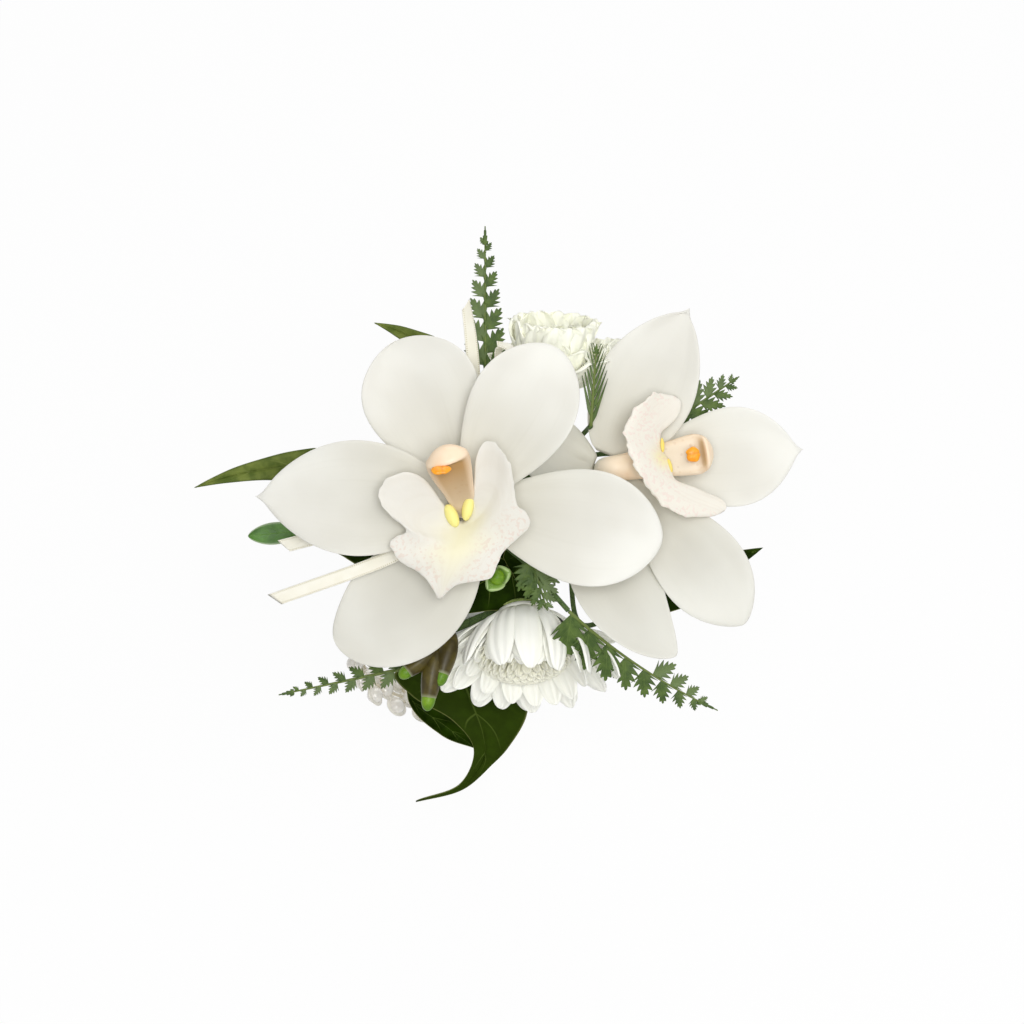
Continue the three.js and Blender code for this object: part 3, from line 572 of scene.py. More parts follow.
# a darker copy of the petal finish: painted shade for the tepals that take it
petalPaintedShade = petalFinish("petal_painted_shade", {**petalLook, "light": "#dfded5", "shade": "#d5d3c9", "middle": "#b9b7ad"})
lipWhite = lipFinish("lip_white", {
    "light": "#e2dfd6", "shade": "#d9d3c6", "glow": "#f5eeb8", "glowDepth": 0.55, "speck": "#d9bba9",
    "speckScale": 900.0, "speckFrom": 0.54, "speckDepth": 0.32, "knob": "#f7ec92", "seed": 4.0})
lipPink = lipFinish("lip_pink_spotted", {
    "light": "#ede8dc", "shade": "#e6ddd0", "glow": "#f2e39f", "glowDepth": 0.7, "speck": "#eac9c2",
    "speckScale": 900.0, "speckFrom": 0.53, "speckDepth": 0.3, "knob": "#f7dc72", "seed": 7.0})
# the hollow's inside colour is partly the column's own tan and partly painted shade of the recess
columnBlush = columnFinish("column_blush", {
    "light": "#fae4c8", "blush": "#f6d8b6", "root": "#f6efe0", "throat": "#e6d8c0", "inside": "#b08a54",
    "speck": "#b98f66"})
antherOrange = antherFinish("anther_orange", {"light": "#fbaa1e", "deep": "#f4970c", "seam": "#c9700c"})
# groove is a painted-shade colour for the rays' grooves
mumWhite = rayFinish("mum_white", {
    "light": "#fffff6", "groove": "#f6f6ea", "root": "#eceed0", "core": "#faf8e2", "grooves": 3.0, "rootEnd": 0.28})
mumGreenWhite = rayFinish("mum_green_white", {
    "light": "#ffffef", "groove": "#f6f9e0", "root": "#e6efbc", "core": "#eff3cc", "grooves": 3.0, "rootEnd": 0.4})
leafPlain = {"roughness": 0.5, "shine": 0.25, "cloud": 240.0, "ribs": 6.0, "slant": 1.4, "ribWidth": 0.07,
             "midWidth": 0.07, "veinDepth": 0.5, "rimWidth": 0.1, "rimDepth": 0.0, "rim": "#b9c58c",
             "tipDepth": 0.0, "tipFrom": 0.62, "tip": "#6d9a3c", "backDepth": 0.45, "stalk": "#6b7a3e"}
fernGreen = leafFinish("fern_green", deep="#3c5222", light="#566c30", vein="#748846", back="#74855a", ribs=5.0,
                       veinDepth=0.3, cloud=330.0)
ivyGreen = leafFinish("ivy_green", deep="#142300", light="#223602", vein="#6c7e3a", back="#36460f", roughness=0.6,
                      shine=0.03, ribs=4.0, slant=0.8, rim="#9a9e60", ribWidth=0.035, midWidth=0.03, veinDepth=0.6,
                      rimDepth=0.6, rimWidth=0.05)
ivyPale = leafFinish("ivy_pale", deep="#4c5c22", light="#707c38", vein="#8e9856", back="#7c8650", shine=0.1,
                     ribs=4.0, slant=0.8, rim="#3c4a1c", ribWidth=0.035, midWidth=0.04, rimDepth=0.5, rimWidth=0.25)
budBrown = leafFinish("bud_brown", deep="#3a3214", light="#574e1f", vein="#645c2e", back="#574e1f", tipDepth=0.8,
                      tipFrom=0.92, tip="#a9b089", ribWidth=0.0, roughness=0.36)
budTip = leafFinish("bud_tip", deep="#4f7716", light="#749a1e", vein="#9dbb52", back="#6c9420", veinDepth=0.2,
                    roughness=0.34)
budGreen = leafFinish("bud_green", deep="#3d6522", light="#578534", vein="#7fa45a", back="#4f7a30", rimDepth=0.7,
                      rimWidth=0.15, rim="#bccbaa", roughness=0.36)
budPale = leafFinish("bud_pale", deep="#5f8430", light="#84a650", vein="#a8bf7c", back="#7d9f50", rimDepth=0.5,
                     rimWidth=0.25, rim="#c8d6a6", roughness=0.36)
calyxGreen = leafFinish("calyx_green", deep="#7d8f4a", light="#a3b06c", vein="#c2cb96", back="#93a45c",
                        rimDepth=0.5)
ribbonIvory = ribbonFinish("ribbon_ivory", {
    "light": "#f6f3e6", "shade": "#efebda", "thread": "#fbf9ee", "stitch": "#bdb48e", "weft": 1.5, "warp": 4.0,
    "stitchAt": 0.78})
pearlCream = pearlFinish("pearl_cream", {"light": "#fcf9f2", "blush": "#f7f2e9", "thread": "#f8f4e9"})
# groove is a painted-shade colour for the grooves between the ribs
elasticCream = elasticFinish("elastic_cream", {
    "light": "#f3ecd9", "shade": "#e8dfc6", "groove": "#cfc3a2", "ribs": 5.0, "picks": 1.2})
# edge is a painted-shade colour for the band below each lap's edge
tapeGreen = tapeFinish("stem_tape", {"deep": "#3c5229", "light": "#5d7440", "edge": "#2c3d1e", "lap": 4.2})
clipSteel = clipFinish("clip_steel", {"light": "#dcdcda", "shade": "#b9b9b6"})
print("finishes made")

# Orchids: tepals

hearts = {"orchid1": np.array([8.0, 30.0, 30.0]), "orchid2": np.array([51.5, 40.5, 9.0])}
heartReach = 4.3
tepalSet = {"root": 6.0, "blunt": 0.65, "cup": 0.1, "wave": 0.8, "waves": 1.3, "waveLag": 1.1, "groove": 0.4,
            "grooveWidth": 0.16, "pleat": 0.05, "pleats": 5, "nib": 0, "dim": False, "thickness": 1.1, "rows": 70,
            "cols": 41}
tepals = {
    "orchid1DorsalSepal": {
        "depth": -2.5, "heading": 110, "sweep": 6, "length": 49, "width": 35, "widest": 0.66, "blunt": 0.52,
        "lift": 4, "bend": -8, "phase": 0.4},
    "orchid1RightPetal": {
        "depth": 2.5, "heading": 58, "sweep": 4, "length": 50, "width": 31, "widest": 0.62, "blunt": 0.52,
        "lift": 8, "bend": -10, "cup": 0.12, "wave": 1.1, "phase": 1.9},
    "orchid1LeftPetal": {
        "depth": 2.5, "heading": 176, "sweep": 4, "length": 56, "width": 33, "widest": 0.52, "lift": 8,
        "bend": -16, "cup": 0.14, "wave": 1.2, "phase": 3.1, "nib": 2.6},
    "orchid1LeftSepal": {
        "depth": -2.5, "heading": 254, "sweep": -62, "length": 55.5, "width": 33, "widest": 0.58, "blunt": 0.55,
        "lift": 0, "bend": -6, "cup": 0.08, "phase": 0.9, "dim": True},
    "orchid1RightSepal": {
        "depth": -2.5, "heading": -12, "sweep": 4, "length": 56, "width": 34, "widest": 0.62, "blunt": 0.55,
        "lift": 6, "bend": -6, "phase": 2.2},
    "orchid2DorsalSepal": {
        "depth": -2.5, "heading": 6, "length": 54, "width": 30, "widest": 0.66, "lift": -2, "bend": 4,
        "phase": 1.2, "nib": 2.4},
    "orchid2UpperPetal": {
        "depth": 1.0, "heading": 67, "sweep": -8, "length": 49, "width": 28, "widest": 0.52, "root": 11,
        "lift": 6, "bend": -8, "cup": 0.12, "wave": 1.0, "phase": 0.2, "nib": 2.4},
    "orchid2LowerPetal": {
        "depth": 1.0, "heading": -43, "sweep": -12, "length": 59, "width": 26, "widest": 0.66, "lift": 12,
        "bend": -11, "wave": 0.7, "phase": 2.7, "dim": True},
    "orchid2RightSepal": {
        "depth": -2.5, "heading": -102, "sweep": 68, "length": 62, "width": 26.5, "widest": 0.5, "lift": 20,
        "bend": -9, "wave": 0.5, "phase": 0.7, "roll": 18, "dim": True},
    "orchid2LeftSepal": {
        "depth": -2.5, "heading": 161, "length": 24, "width": 20, "widest": 0.6, "lift": 4, "wave": 0.3,
        "phase": 1.6, "dim": True},
}


def heartOf(name):
    # the middle of the flower that a piece's name begins with
    return hearts[name[:len("orchid1")]]


def heartEdge(name, heading, depth):
    # a place round a flower's middle
    return heartOf(name) + spoke(heartReach, math.radians(heading), depth)


def makeTepal(name, look):
    # a blade with a shallow groove down its middle, faint pleats that fade to the tip, a slow wave along both
    # edges, and for some a drawn-out tip
    shape = {**tepalSet, **look, "start": heartEdge(name, look["heading"], look["depth"])}
    s, t = edgeSteps(shape["cols"]), tipSteps(shape["rows"])
    sGrid, tGrid = s[None], t[:, None]
    turn = fullTurn * shape["waves"] * tGrid + shape["phase"] + shape["waveLag"] * (sGrid > 0)
    wave = shape["wave"] * np.sin(turn) * np.abs(sGrid) ** 3 * tGrid
    fade = (1 - tGrid) ** 0.7 * np.minimum(6 * tGrid, 1)
    groove = shape["groove"] * bellAt(sGrid, 0, shape["grooveWidth"]) * fade
    pleats = shape["pleat"] * np.cos(shape["pleats"] * math.pi * sGrid) * (1 - tGrid) * np.minimum(4 * tGrid, 1)
    mid = bladeSheet(shape, s, t, wave - groove + pleats)
    nib = shape["nib"] * bellAt(sGrid, 0, 0.6) * risen(tGrid, 0.75, 1) ** 1.5
    across, out = midrib(shape, t)[1:]
    mid = mid + np.cross(out, across)[:, None] * nib[..., None]
    part = placed(skin(mid, shape["thickness"], s, t, 8))
    # tepals set for it take the darker painted-shade copy of the petal finish
    makePiece(name, [part], [petalPaintedShade if shape["dim"] else petalWhite])


makeAll(makeTepal, tepals)
print("tepals made")

# Orchids: lips

lipSet = {"thickness": 1.1, "rows": 121, "cols": 61, "ruffles": 27, "ruffleLag": 2.0}
lips = {
    "orchid1Lip": {
        "finish": lipWhite, "ruffle": 0.4, "teeth": 0.012, "toothedFrom": 0.2, "glowAt": (0.0, 0.42, 0.5, 0.34),
        "spotted": "lower",
        "left": [[-5.8, -1.6, 6.5], [-12, 7.5, 12], [-18, 9.4, 13.5], [-25.3, 4, 14], [-22, -3.5, 12.5],
                 [-17.2, -7.6, 11.2], [-22, -11.7, 10], [-18.6, -17.3, 9.5], [-12.6, -21, 9], [-9.2, -25.6, 8],
                 [-8, -28, 7]],
        "middle": [[0, -5.4, 5.2], [0, -5.7, 6], [0, -6.2, 6.8], [0, -7, 7.4], [-0.3, -8.5, 8.2], [-1, -11, 9],
                   [-2, -14, 9.5], [-3, -17, 9.4], [-4.4, -20.3, 9], [-6, -24.6, 8], [-7.3, -28.1, 7]],
        "right": [[6.3, -1.2, 6.5], [3.6, 13.5, 13.5], [6.5, 18.4, 15.5], [11.3, 16, 16], [14.5, 8.5, 15],
                  [15.2, 1.8, 12.5], [19.5, -6, 10.5], [11.8, -14, 10], [7.8, -21.8, 9.3], [-2.3, -24, 8.4],
                  [-6.6, -27.8, 7]],
        "knobs": [([-3.7, -3.5, 8.2], [1.9, 3.7, 1.5], 24), ([1.1, -1.2, 8.6], [1.7, 3.9, 1.5], -12)]},
    "orchid2Lip": {
        "finish": lipPink, "ruffle": 0.6, "teeth": 0.06, "toothedFrom": 0.0, "roundEnds": 0.12,
        "glowAt": (0.7, 0.5, 0.52, 0.07), "spotted": "left",
        "left": [[17.7, 23.8, 9], [12.5, 22.5, 13], [4.6, 12.5, 16], [6.4, 3.8, 18], [10.4, -3.9, 17],
                 [18, -12.1, 14], [29.5, -16, 9]],
        "middle": [[20.9, 22, 8.5], [14.6, 17.1, 11], [9.7, 11, 14], [11.9, 3.8, 15.3], [15.1, -3.1, 14.8],
                   [22.7, -9.2, 12], [34.6, -13.1, 8]],
        "right": [[24.4, 19.8, 7.5], [19, 13.8, 8.5], [15.3, 9.7, 10.3], [17.7, 3.7, 10.9], [20.2, -2.5, 11.2],
                  [27.9, -6.3, 9], [39.3, -9.4, 6.5]],
        "knobs": [([16.3, 7.4, 11.7], [0.6, 2.2, 0.6], 4), ([18.6, 1.2, 12.0], [0.6, 2.2, 0.6], 16)]},
}


def railSheet(rails, t, across):
    # three rails: middle + s/2 (right - left) + s squared/2 of both reaches, for s in across
    left, middle, right = (railPoint(rails[k], t)[:, None] for k in ("left", "middle", "right"))
    s = across[..., None]
    return middle + s / 2 * (right - left) + s**2 / 2 * (left + right - 2 * middle)


def turned(angles):
    # a turn about x, then y, then z of the turned axes, as rows of axes
    (cx, cy, cz), (sx, sy, sz) = np.cos(np.radians(angles)), np.sin(np.radians(angles))
    aboutX = np.array([[1, 0, 0], [0, cx, -sx], [0, sx, cx]])
    aboutY = np.array([[cy, 0, sy], [0, 1, 0], [-sy, 0, cy]])
    aboutZ = np.array([[cz, -sz, 0], [sz, cz, 0], [0, 0, 1]])
    return (aboutX @ aboutY @ aboutZ).T


def makeLip(name, look):
    # a sheet on three rails; its free margin is toothed by a fine wave on s and ruffled by a wave out of the face
    s, t = edgeSteps(lipSet["cols"]), np.linspace(0, 1, lipSet["rows"])
    sGrid, tGrid = s[None], t[:, None]
    low = risen(tGrid, look["toothedFrom"], look["toothedFrom"] + 0.12)
    wobble = np.sin(57 * tGrid) + 0.6 * np.sin(103 * tGrid + 1.0) + 0.4 * np.sin(171 * tGrid + 2.0)
    hangs = look["spotted"] == "lower"
    free = np.abs(sGrid) ** 6 * (1 if hangs else sGrid < 0)
    ends = 0.5 - np.abs(tGrid - 0.5)
    far = np.clip(1 - ends / look["roundEnds"], 0, 1) if "roundEnds" in look else 0 * tGrid
    across = sGrid * np.sqrt(1 - 0.98 * far**2) * (1 + look["teeth"] * low * wobble * free)
    mid = railSheet(look, t, across)
    normal = unit(np.cross(np.gradient(mid, axis=1), np.gradient(mid, axis=0)))
    turn = lipSet["ruffles"] * tGrid + lipSet["ruffleLag"] * (sGrid > 0)
    ruffle = look["ruffle"] * np.sin(turn) * np.abs(sGrid) ** 4 * np.clip(3 * tGrid, 0, 1)
    heart = heartOf(name)
    part = placed(skin(mid + normal * ruffle[..., None] + heart, lipSet["thickness"], s, t, 8))
    u, v = np.moveaxis(part["uv"], -1, 0)
    lower = risen(v, 0.45, 0.57) * risen(np.abs(u), 0.12, 0.42)
    tips = risen(np.abs(v - 0.5), 0.22, 0.34) * risen(u, -0.5, 0.5)
    atU, reachU, atV, reachV = look["glowAt"]
    glow = bellAt(u, atU, reachU) * bellAt(v, atV, reachV)
    parts = [marked(part, glow=glow, blotch=lower if hangs else np.clip(1 - 1.3 * tips, 0, 1))]
    for centre, size, angle in look["knobs"]:
        parts.append(marked(placed(ball(heart + centre, size, 15, 21, turned([0, 0, angle]))), knob=1))
    makePiece(name, parts, [look["finish"]])


makeAll(makeLip, lips)

# Orchids: columns and anther caps

columnSet = {"rows": 121, "cols": 49, "frontAt": 1.5 * math.pi, "press": 0.6, "rim": 0.14, "flare": 0.04}
columns = {
    "orchid1Column": {
        "across": [0.976, 0.22, 0], "hollow": (0.3, 0.42, 0.77, 0.815), "tan": (0.15, 0.72), "dome": 6.6,
        "at": [[0, 0, -6.5], [0, 0, -5.5], [0, 0, 5], [-1.5, 4, 10], [-3.6, 9.5, 14.5], [-5.2, 14, 17.5],
               [-6.3, 17, 18.6]],
        "half": [[3, 3], [4, 4], [4, 4], [4.6, 3.8], [6.2, 4.3], [6.9, 4.8], [6.6, 4.8]]},
    "orchid2Column": {
        "across": [0.18, -0.98, 0], "hollow": (0.5, 0.62, 0.83, 0.885), "tan": (0.78, 0.87), "dome": 6.0,
        "at": [[0, 0, -6.5], [0, 0, -5.5], [0, 0, 3.2], [1.6, 0.3, 5.4], [6, 1, 5.8], [16, 2.8, 6.6],
               [25, 4.4, 7.4], [29.5, 5.2, 7.6], [32, 5.6, 7.4]],
        "half": [[3, 3], [4, 4], [4, 4], [4, 4], [4.2, 3.4], [5, 3.6], [6.2, 4], [6.4, 4.2], [6.2, 4.2]]},
}
capSet = {"fill": np.array([0.5, 0.425, 0.3]), "seamAt": 0.05, "seam": 0.16, "ragged": 0.05, "notches": 5}
antherCaps = {
    "orchid1AntherCap": {"at": [1.4, 39.9, 52.0], "size": [6, 4.5, 3], "turn": [-50, 0, 10]},
    "orchid2AntherCap": {"at": [77, 45, 22.05], "size": [4.5, 5.5, 3], "turn": [0, 4, 10]},
}


def makeColumn(name, look):
    # oval sections on a smooth path; a channel is pressed into the front up to the rolled rim of the hood
    t = np.linspace(0, 1, columnSet["rows"])
    line = railPoint(look["at"], t) + heartOf(name)
    run = runOf(line)
    dome = np.sqrt(1 - np.clip(1 - (run[-1] - run) / look["dome"], 0, 1) ** 2)
    half = railPoint([[*pair, 0] for pair in look["half"]], t) * dome[:, None]
    onwards = unit(np.gradient(line, axis=0))
    side = np.asarray(look["across"], float)
    side = unit(side - onwards * (onwards @ side)[:, None])
    over = np.cross(onwards, side)
    angle = np.linspace(0, fullTurn, columnSet["cols"])
    begin, full, fade, stop = look["hollow"]
    front = bellAt(angle, columnSet["frontAt"], 1.0)[None]
    deep = (risen(t, begin, full) * (1 - risen(t, fade, stop)))[:, None]
    rim = bellAt(t, stop + 0.02, 0.03)[:, None]
    press = 1 - columnSet["press"] * front * deep + columnSet["rim"] * front * rim
    wide = half[:, :1] * np.cos(angle) * (1 + columnSet["flare"] * rim)
    points = line[:, None] + side[:, None] * wide[..., None]
    points = points + over[:, None] * (half[:, 1:2] * np.sin(angle) * press)[..., None]
    points = np.concatenate([np.broadcast_to(line[:1, None], points[:1].shape), points])
    grow = np.concatenate([[0], t])
    hollow = np.concatenate([0 * front, np.clip(1.5 * front, 0, 1) * np.clip(2 * deep, 0, 1)])
    # the tan mark grows toward the hood and sets where the hollow takes its tan, which is partly painted shade
    part = grid(points, angle / fullTurn, grow[:, None], hollow=hollow, tan=risen(grow, *look["tan"])[:, None])
    makePiece(name, [placed(part)], [columnBlush])


def makeAntherCap(name, look):
    # a flattened oval with a seam pressed between its two lobes and a ragged edge
    part = ball([0, 0, 0], look["size"] * capSet["fill"], 25, 37)
    local = part["points"]
    across = 0 if look["size"][0] > look["size"][1] else 1
    seam = bellAt(local[..., across] / look["size"][across], capSet["seamAt"], 0.07)
    around = np.arctan2(local[..., 1], local[..., 0])
    grown = 1 + capSet["ragged"] * np.sin(capSet["notches"] * around + 1.0) - capSet["seam"] * seam
    part["points"] = np.asarray(look["at"], float) + (local * grown[..., None]) @ turned(look["turn"])
    makePiece(name, [marked(placed(part), seam=0.4 * seam)], [antherOrange])


makeAll(makeColumn, columns)
makeAll(makeAntherCap, antherCaps)
print("lips, columns and anther caps made")

# Mums: a calyx, two rings of rays and a dense disc of small florets

mumSet = {"rayThickness": 0.8, "ringStep": 3.4, "gap": 0.3, "neck": 4.5, "collar": 8, "collarHeight": 1.6,
          "bracts": 26}
# shift round the ring in rays, height, share of the length, further lift
outerRows = [(0, 0, 1, 0), (0.5, 1.0, 0.9, 5), (0.25, 1.8, 0.7, 16)]
innerRows = [(0, 0, 1, 0), (0.5, 0.5, 0.76, 4)]
# radius and height of a calyx for a scale of 1, and of a disc for a dome of 1
calyxFoot = [[0, -4], [2.2, -3.8], [4, -3], [6.2, -1.9]]
mound = [[0.8, 0.15], [0.96, 0.3], [1, 0.43], [0.97, 0.6], [0.86, 0.76], [0.6, 0.93], [0.3, 1], [0, 1.02]]
raySet = {"root": 0.45, "widest": 0.64, "cup": 0.22, "crease": 0.16, "creases": 3, "waves": 7}
bract = {"lift": 24, "bend": 24, "root": 1.2, "widest": 0.5, "blunt": 0.7, "cup": -0.2}
floret = {"root": 1.4, "widest": 0.66, "blunt": 0.45, "cup": 0.35}
goldenTurn = 2.39996
mums = {
    "frontMum": {
        "at": [25.5, -5, -1], "facing": [0.06, -0.8, 0.6], "scale": 1.1, "dome": 9.2, "closing": 90,
        "finish": mumWhite, "slot": "mum_white", "florets": 180, "floretLength": 9.0, "wavy": 0.5, "squash": 0.4,
        "uneven": 3.0,
        "outer": {"length": 31, "width": 8.8, "lift": 28, "bend": 22, "swing": [8, 56], "blunt": 0.45, "near": 0.9,
                  "open": 0},
        "inner": {"length": 21.5, "width": 6.0, "lift": 51, "bend": 22, "swing": [4, 46], "blunt": 0.62,
                  "near": 0.84, "open": 46}},
    "backMum": {
        "at": [34.3, 65, 3], "facing": [0.03, 0.97, 0.1], "scale": 0.95, "dome": 5.5, "closing": -90,
        "finish": mumGreenWhite, "slot": "mum_green_white", "florets": 70, "floretLength": 8, "wavy": 2.2,
        "squash": 0.0, "uneven": 4.0,
        "outer": {"length": 19, "width": 10.5, "lift": 16, "bend": 44, "swing": [4, 10], "blunt": 0.5, "near": 1,
                  "open": 0},
        "inner": {"length": 19, "width": 10, "lift": 53, "bend": 33, "swing": [4, 6], "blunt": 0.5, "near": 1,
                  "open": 0}},
}


def headMove(look):
    # turns a head's own axis from +z to the way it faces by the shortest turn, then sets it in the spray
    face = unit(look["facing"])
    v = np.cross([0, 0, 1], face)
    cross = np.array([[0, -v[2], v[1]], [v[2], 0, -v[0]], [-v[1], v[0], 0]])
    turn = np.eye(3) + cross + cross @ cross / (1 + face[2])
    return lambda points: onObject(np.asarray(points) @ turn.T + np.asarray(look["at"], float))


def ray(path, width, blunt, wavy):
    # a blunt blade with shallow grooves along it and a wave along its edges
    shape = {**raySet, **path, "width": width, "root": raySet["root"] * width, "blunt": blunt}
    s, t = edgeSteps(13), tipSteps(22)
    sGrid, tGrid = s[None], t[:, None]
    grooves = np.cos(raySet["creases"] * math.pi * sGrid) * np.minimum(5 * tGrid, 1) * (1 - tGrid**4)
    wave = wavy * np.sin(raySet["waves"] * tGrid + 2 * sGrid + path["heading"]) * sGrid**2 * tGrid
    mid = bladeSheet(shape, s, t, wave - raySet["crease"] * grooves)
    return skin(mid, mumSet["rayThickness"], s, t, 6)


def rayRows(look, ring, count, phase, height, rows, uneven):
    # rays round a collar; those on the closing side bend further over the disc and the others may open from it;
    # later rows stand inside the first
    reach = mumSet["collar"] * look["scale"] - 1
    parts = []
    for row, (shift, high, short, close) in enumerate(rows):
        for k in range(count):
            heading = 360 * (k + phase + shift) / count + 2.2 * uneven * math.sin(5.3 * k + 2.1 * row)
            angle, far = math.radians(heading), reach - 0.6 * row
            near = max(0.0, math.cos(math.radians(heading - look["closing"])))
            jig = math.sin(12.9 * k + 7.1 * row + 3 * phase) * uneven
            path = {"start": spoke(far, angle, height + high), "heading": heading,
                    "length": ring["length"] * short * (1 + 0.05 * jig) * (1 - (1 - ring["near"]) * near),
                    "lift": ring["lift"] + ring["swing"][0] * near - ring["open"] * (1 - near) + close,
                    "bend": ring["bend"] + ring["swing"][1] * near + 4 * jig, "twist": 6 * jig}
            parts.append(ray(path, ring["width"] * (1 - 0.08 * row), ring["blunt"], look["wavy"]))
    return parts


def florets(look, base):
    # spiral of small incurved blades on the dome: each turns by the golden angle from the one before, and blade k
    # stands further out by root k
    parts, dome = [], look["dome"]
    s, t = edgeSteps(5), tipSteps(8)
    for k in range(look["florets"]):
        share = math.sqrt((k + 0.5) / look["florets"])
        turn = math.degrees(k * goldenTurn)
        near = look["squash"] * max(0.0, math.cos(math.radians(turn - look["closing"])))
        tilt, angle = math.radians(100 * share), math.radians(turn)
        radius, height = 0.96 * dome * math.sin(tilt), base + 0.43 * dome + 0.6 * dome * math.cos(tilt)
        shape = {**floret, "start": spoke(radius, angle, height), "heading": turn,
                 "length": look["floretLength"] * (0.45 + 0.55 * share) * (1 - near), "width": 3.2 + 1.6 * share,
                 "lift": 66 - 54 * share + 60 * near, "bend": 10 + 30 * share}
        parts.append(marked(skin(bladeSheet(shape, s, t), 0.7, s, t), core=0.9 - 0.4 * share))
    return parts


def bracts(scale):
    # two staggered rows of small blades over the calyx
    parts = []
    s, t = edgeSteps(5), tipSteps(8)
    for k in range(mumSet["bracts"]):
        odd = k % 2
        angle, far = fullTurn * (k + 0.5 * odd) / mumSet["bracts"], (3.2 + 1.4 * odd) * scale
        shape = {**bract, "start": spoke(far, angle, (-3.6 + 0.9 * odd) * scale),
                 "heading": math.degrees(angle), "length": 4.2 * scale, "width": 2.5 * scale}
        parts.append(skin(bladeSheet(shape, s, t), 0.5, s, t))
    return parts


def makeMum(name, look):
    # calyx and disc are turned on the head's axis, and each ring of rays stands on a flat collar round the neck
    scale, dome, gap, thick = look["scale"], look["dome"], mumSet["gap"], mumSet["rayThickness"]
    low, high = thick, thick + mumSet["ringStep"]
    top, neck = high + thick + gap, mumSet["neck"] * scale
    calyx = [[r * scale, z * scale - gap] for r, z in calyxFoot]
    calyx += [[7.5 * scale, -1.2 - gap], [7.6 * scale, -gap - 0.5], [7.3 * scale, -gap], [neck, -gap], [neck, top],
              [0, top]]
    disc = lathe([[0, top], [neck, top]] + [[r * dome, top + z * dome] for r, z in mound])
    flowers = [marked(disc, core=1.0)] + florets(look, top)
    for part in flowers:
        part["finish"] = 1
    outer = rayRows(look, look["outer"], 14, 0.5, low, outerRows, look["uneven"])
    inner = rayRows(look, look["inner"], 18, 0, high, innerRows, 0.6 * look["uneven"])
    for parts, height in ((outer, low), (inner, high)):
        a, b, h = neck + gap, mumSet["collar"] * scale, mumSet["collarHeight"]
        parts.append(lathe([[r, z + height - thick] for r, z in ((a, 0), (b, 0), (b, h), (a, h), (a, 0))]))
    heart = [lathe(calyx)] + bracts(scale) + flowers
    move = headMove(look)
    for part in heart + outer + inner:
        placed(part, move)
    makePiece(name + "Heart", heart, [calyxGreen, look["finish"]])
    makePiece(name + "OuterRays", outer, [look["finish"]])
    makePiece(name + "InnerRays", inner, [look["finish"]])


makeAll(makeMum, mums)
print("mums made")

# Fern, ivy and bud sprigs

fernSet = {"slant": 42, "slim": 0.56, "long": 1.42, "bareTo": 0, "plain": False, "thickness": 0.5, "lobes": 4.5,
           "lobeDepth": 0.64, "rachis": (0.6, 0.2), "stalk": 0.16, "forward": 0.55, "flutter": 0.7, "keel": 0.22,
           "droop": 0.12}
ferns = {
    "fernTop": {"start": [14, 68, 10], "heading": 90, "length": 47, "width": 12, "pairs": 7, "lift": 6, "slant": 36,
                "slim": 0.6, "long": 1.5},
    "fernRightUpper": {"start": [71, 55, 0], "heading": 34, "length": 26, "width": 14, "pairs": 5, "lift": 2,
                       "slim": 0.5},
    "fernLowerLeft": {"start": [-10, -20, 14], "heading": 192, "length": 40, "width": 11, "pairs": 7, "lift": -2,
                      "long": 1.1},
    "fernLowerRight": {"start": [39.5, -2.5, 24.15], "heading": -43, "sweep": 18, "length": 57, "width": 16,
                       "pairs": 8, "lift": -27, "bend": 30, "slant": 54, "slim": 0.62, "long": 1.62, "bareTo": 0.45},
    "fernCentre": {"start": [28, 13, 22], "heading": -72, "length": 16, "width": 12, "pairs": 4, "lift": 4},
    "fernBetween": {"start": [46.2, 53.8, 16], "heading": 86, "length": 25, "width": 8, "pairs": 7, "lift": 4,
                    "slant": 16, "slim": 0.05, "long": 3.0, "plain": True},
}
ivySet = {"thickness": 0.7, "wave": 0.5, "waves": 9, "waveLag": 1.5, "roll": 0.35, "trough": 0.35,
          "troughWidth": 0.06}
ivies = {
    "ivyLeft": {"start": [-26, 41, 12], "heading": 173, "sweep": 28, "length": 50, "width": 11, "fold": 0.3,
                "pale": True},
    "ivyTopLeft": {"start": [6, 71, 13], "heading": 138, "sweep": 26, "length": 30, "width": 9, "fold": 0.3,
                   "pale": True},
    "ivyBehindLeft": {"start": [-10, 27, 18], "heading": 184, "length": 36, "width": 38, "fold": 0.1},
    "ivyCentre": {"start": [27, 17, 5], "heading": -92, "length": 15, "width": 15, "fold": 0.1, "lift": 8, "more": [
        {"start": [25, 14, 4], "heading": 214, "length": 32, "width": 28, "fold": 0.1, "lift": -5}]},
    "ivyLowerRight": {"start": [63, 1, 3], "heading": 23, "length": 40, "width": 15, "fold": 0.2},
}
ivyOutline = {"y": [0, 0.01, 0.1, 0.24, 0.42, 0.56, 0.74, 0.93, 1],
              "x": [0.08, 0.3, 0.46, 0.5, 0.4, 0.3, 0.2, 0.06, 0]}
foldedLeaf = {
    "start": [5, -20, -13], "flap": 6.5, "flapFrom": 0.3, "flapTo": 0.66, "flapWay": [-0.62, -0.72, -0.1],
    "flapBulge": [0, 0, -0.35], "flapDrop": 0.6, "flapThickness": 0.5, "trough": 0.5,
    "left": [[-2, 1, 0], [-20, -3.5, -4.5], [-14.5, -10.5, -6], [-1.2, -18.7, -8], [5, -27.8, -11],
             [0.6, -39.1, -14], [-13.5, -44.6, -16]],
    "middle": [[0, 0, -0.5], [2, -6, -4], [5, -14, -7.5], [8, -23, -10], [8.3, -30.5, -12.5], [1.2, -40, -15],
               [-13.5, -44.9, -16.5]],
    "right": [[2, 1, 0], [21, -6, -3], [22, -16.2, -6.5], [16, -27.3, -10], [11, -32.8, -12.5], [1.6, -41, -15],
              [-13.6, -45.2, -16.5]],
}
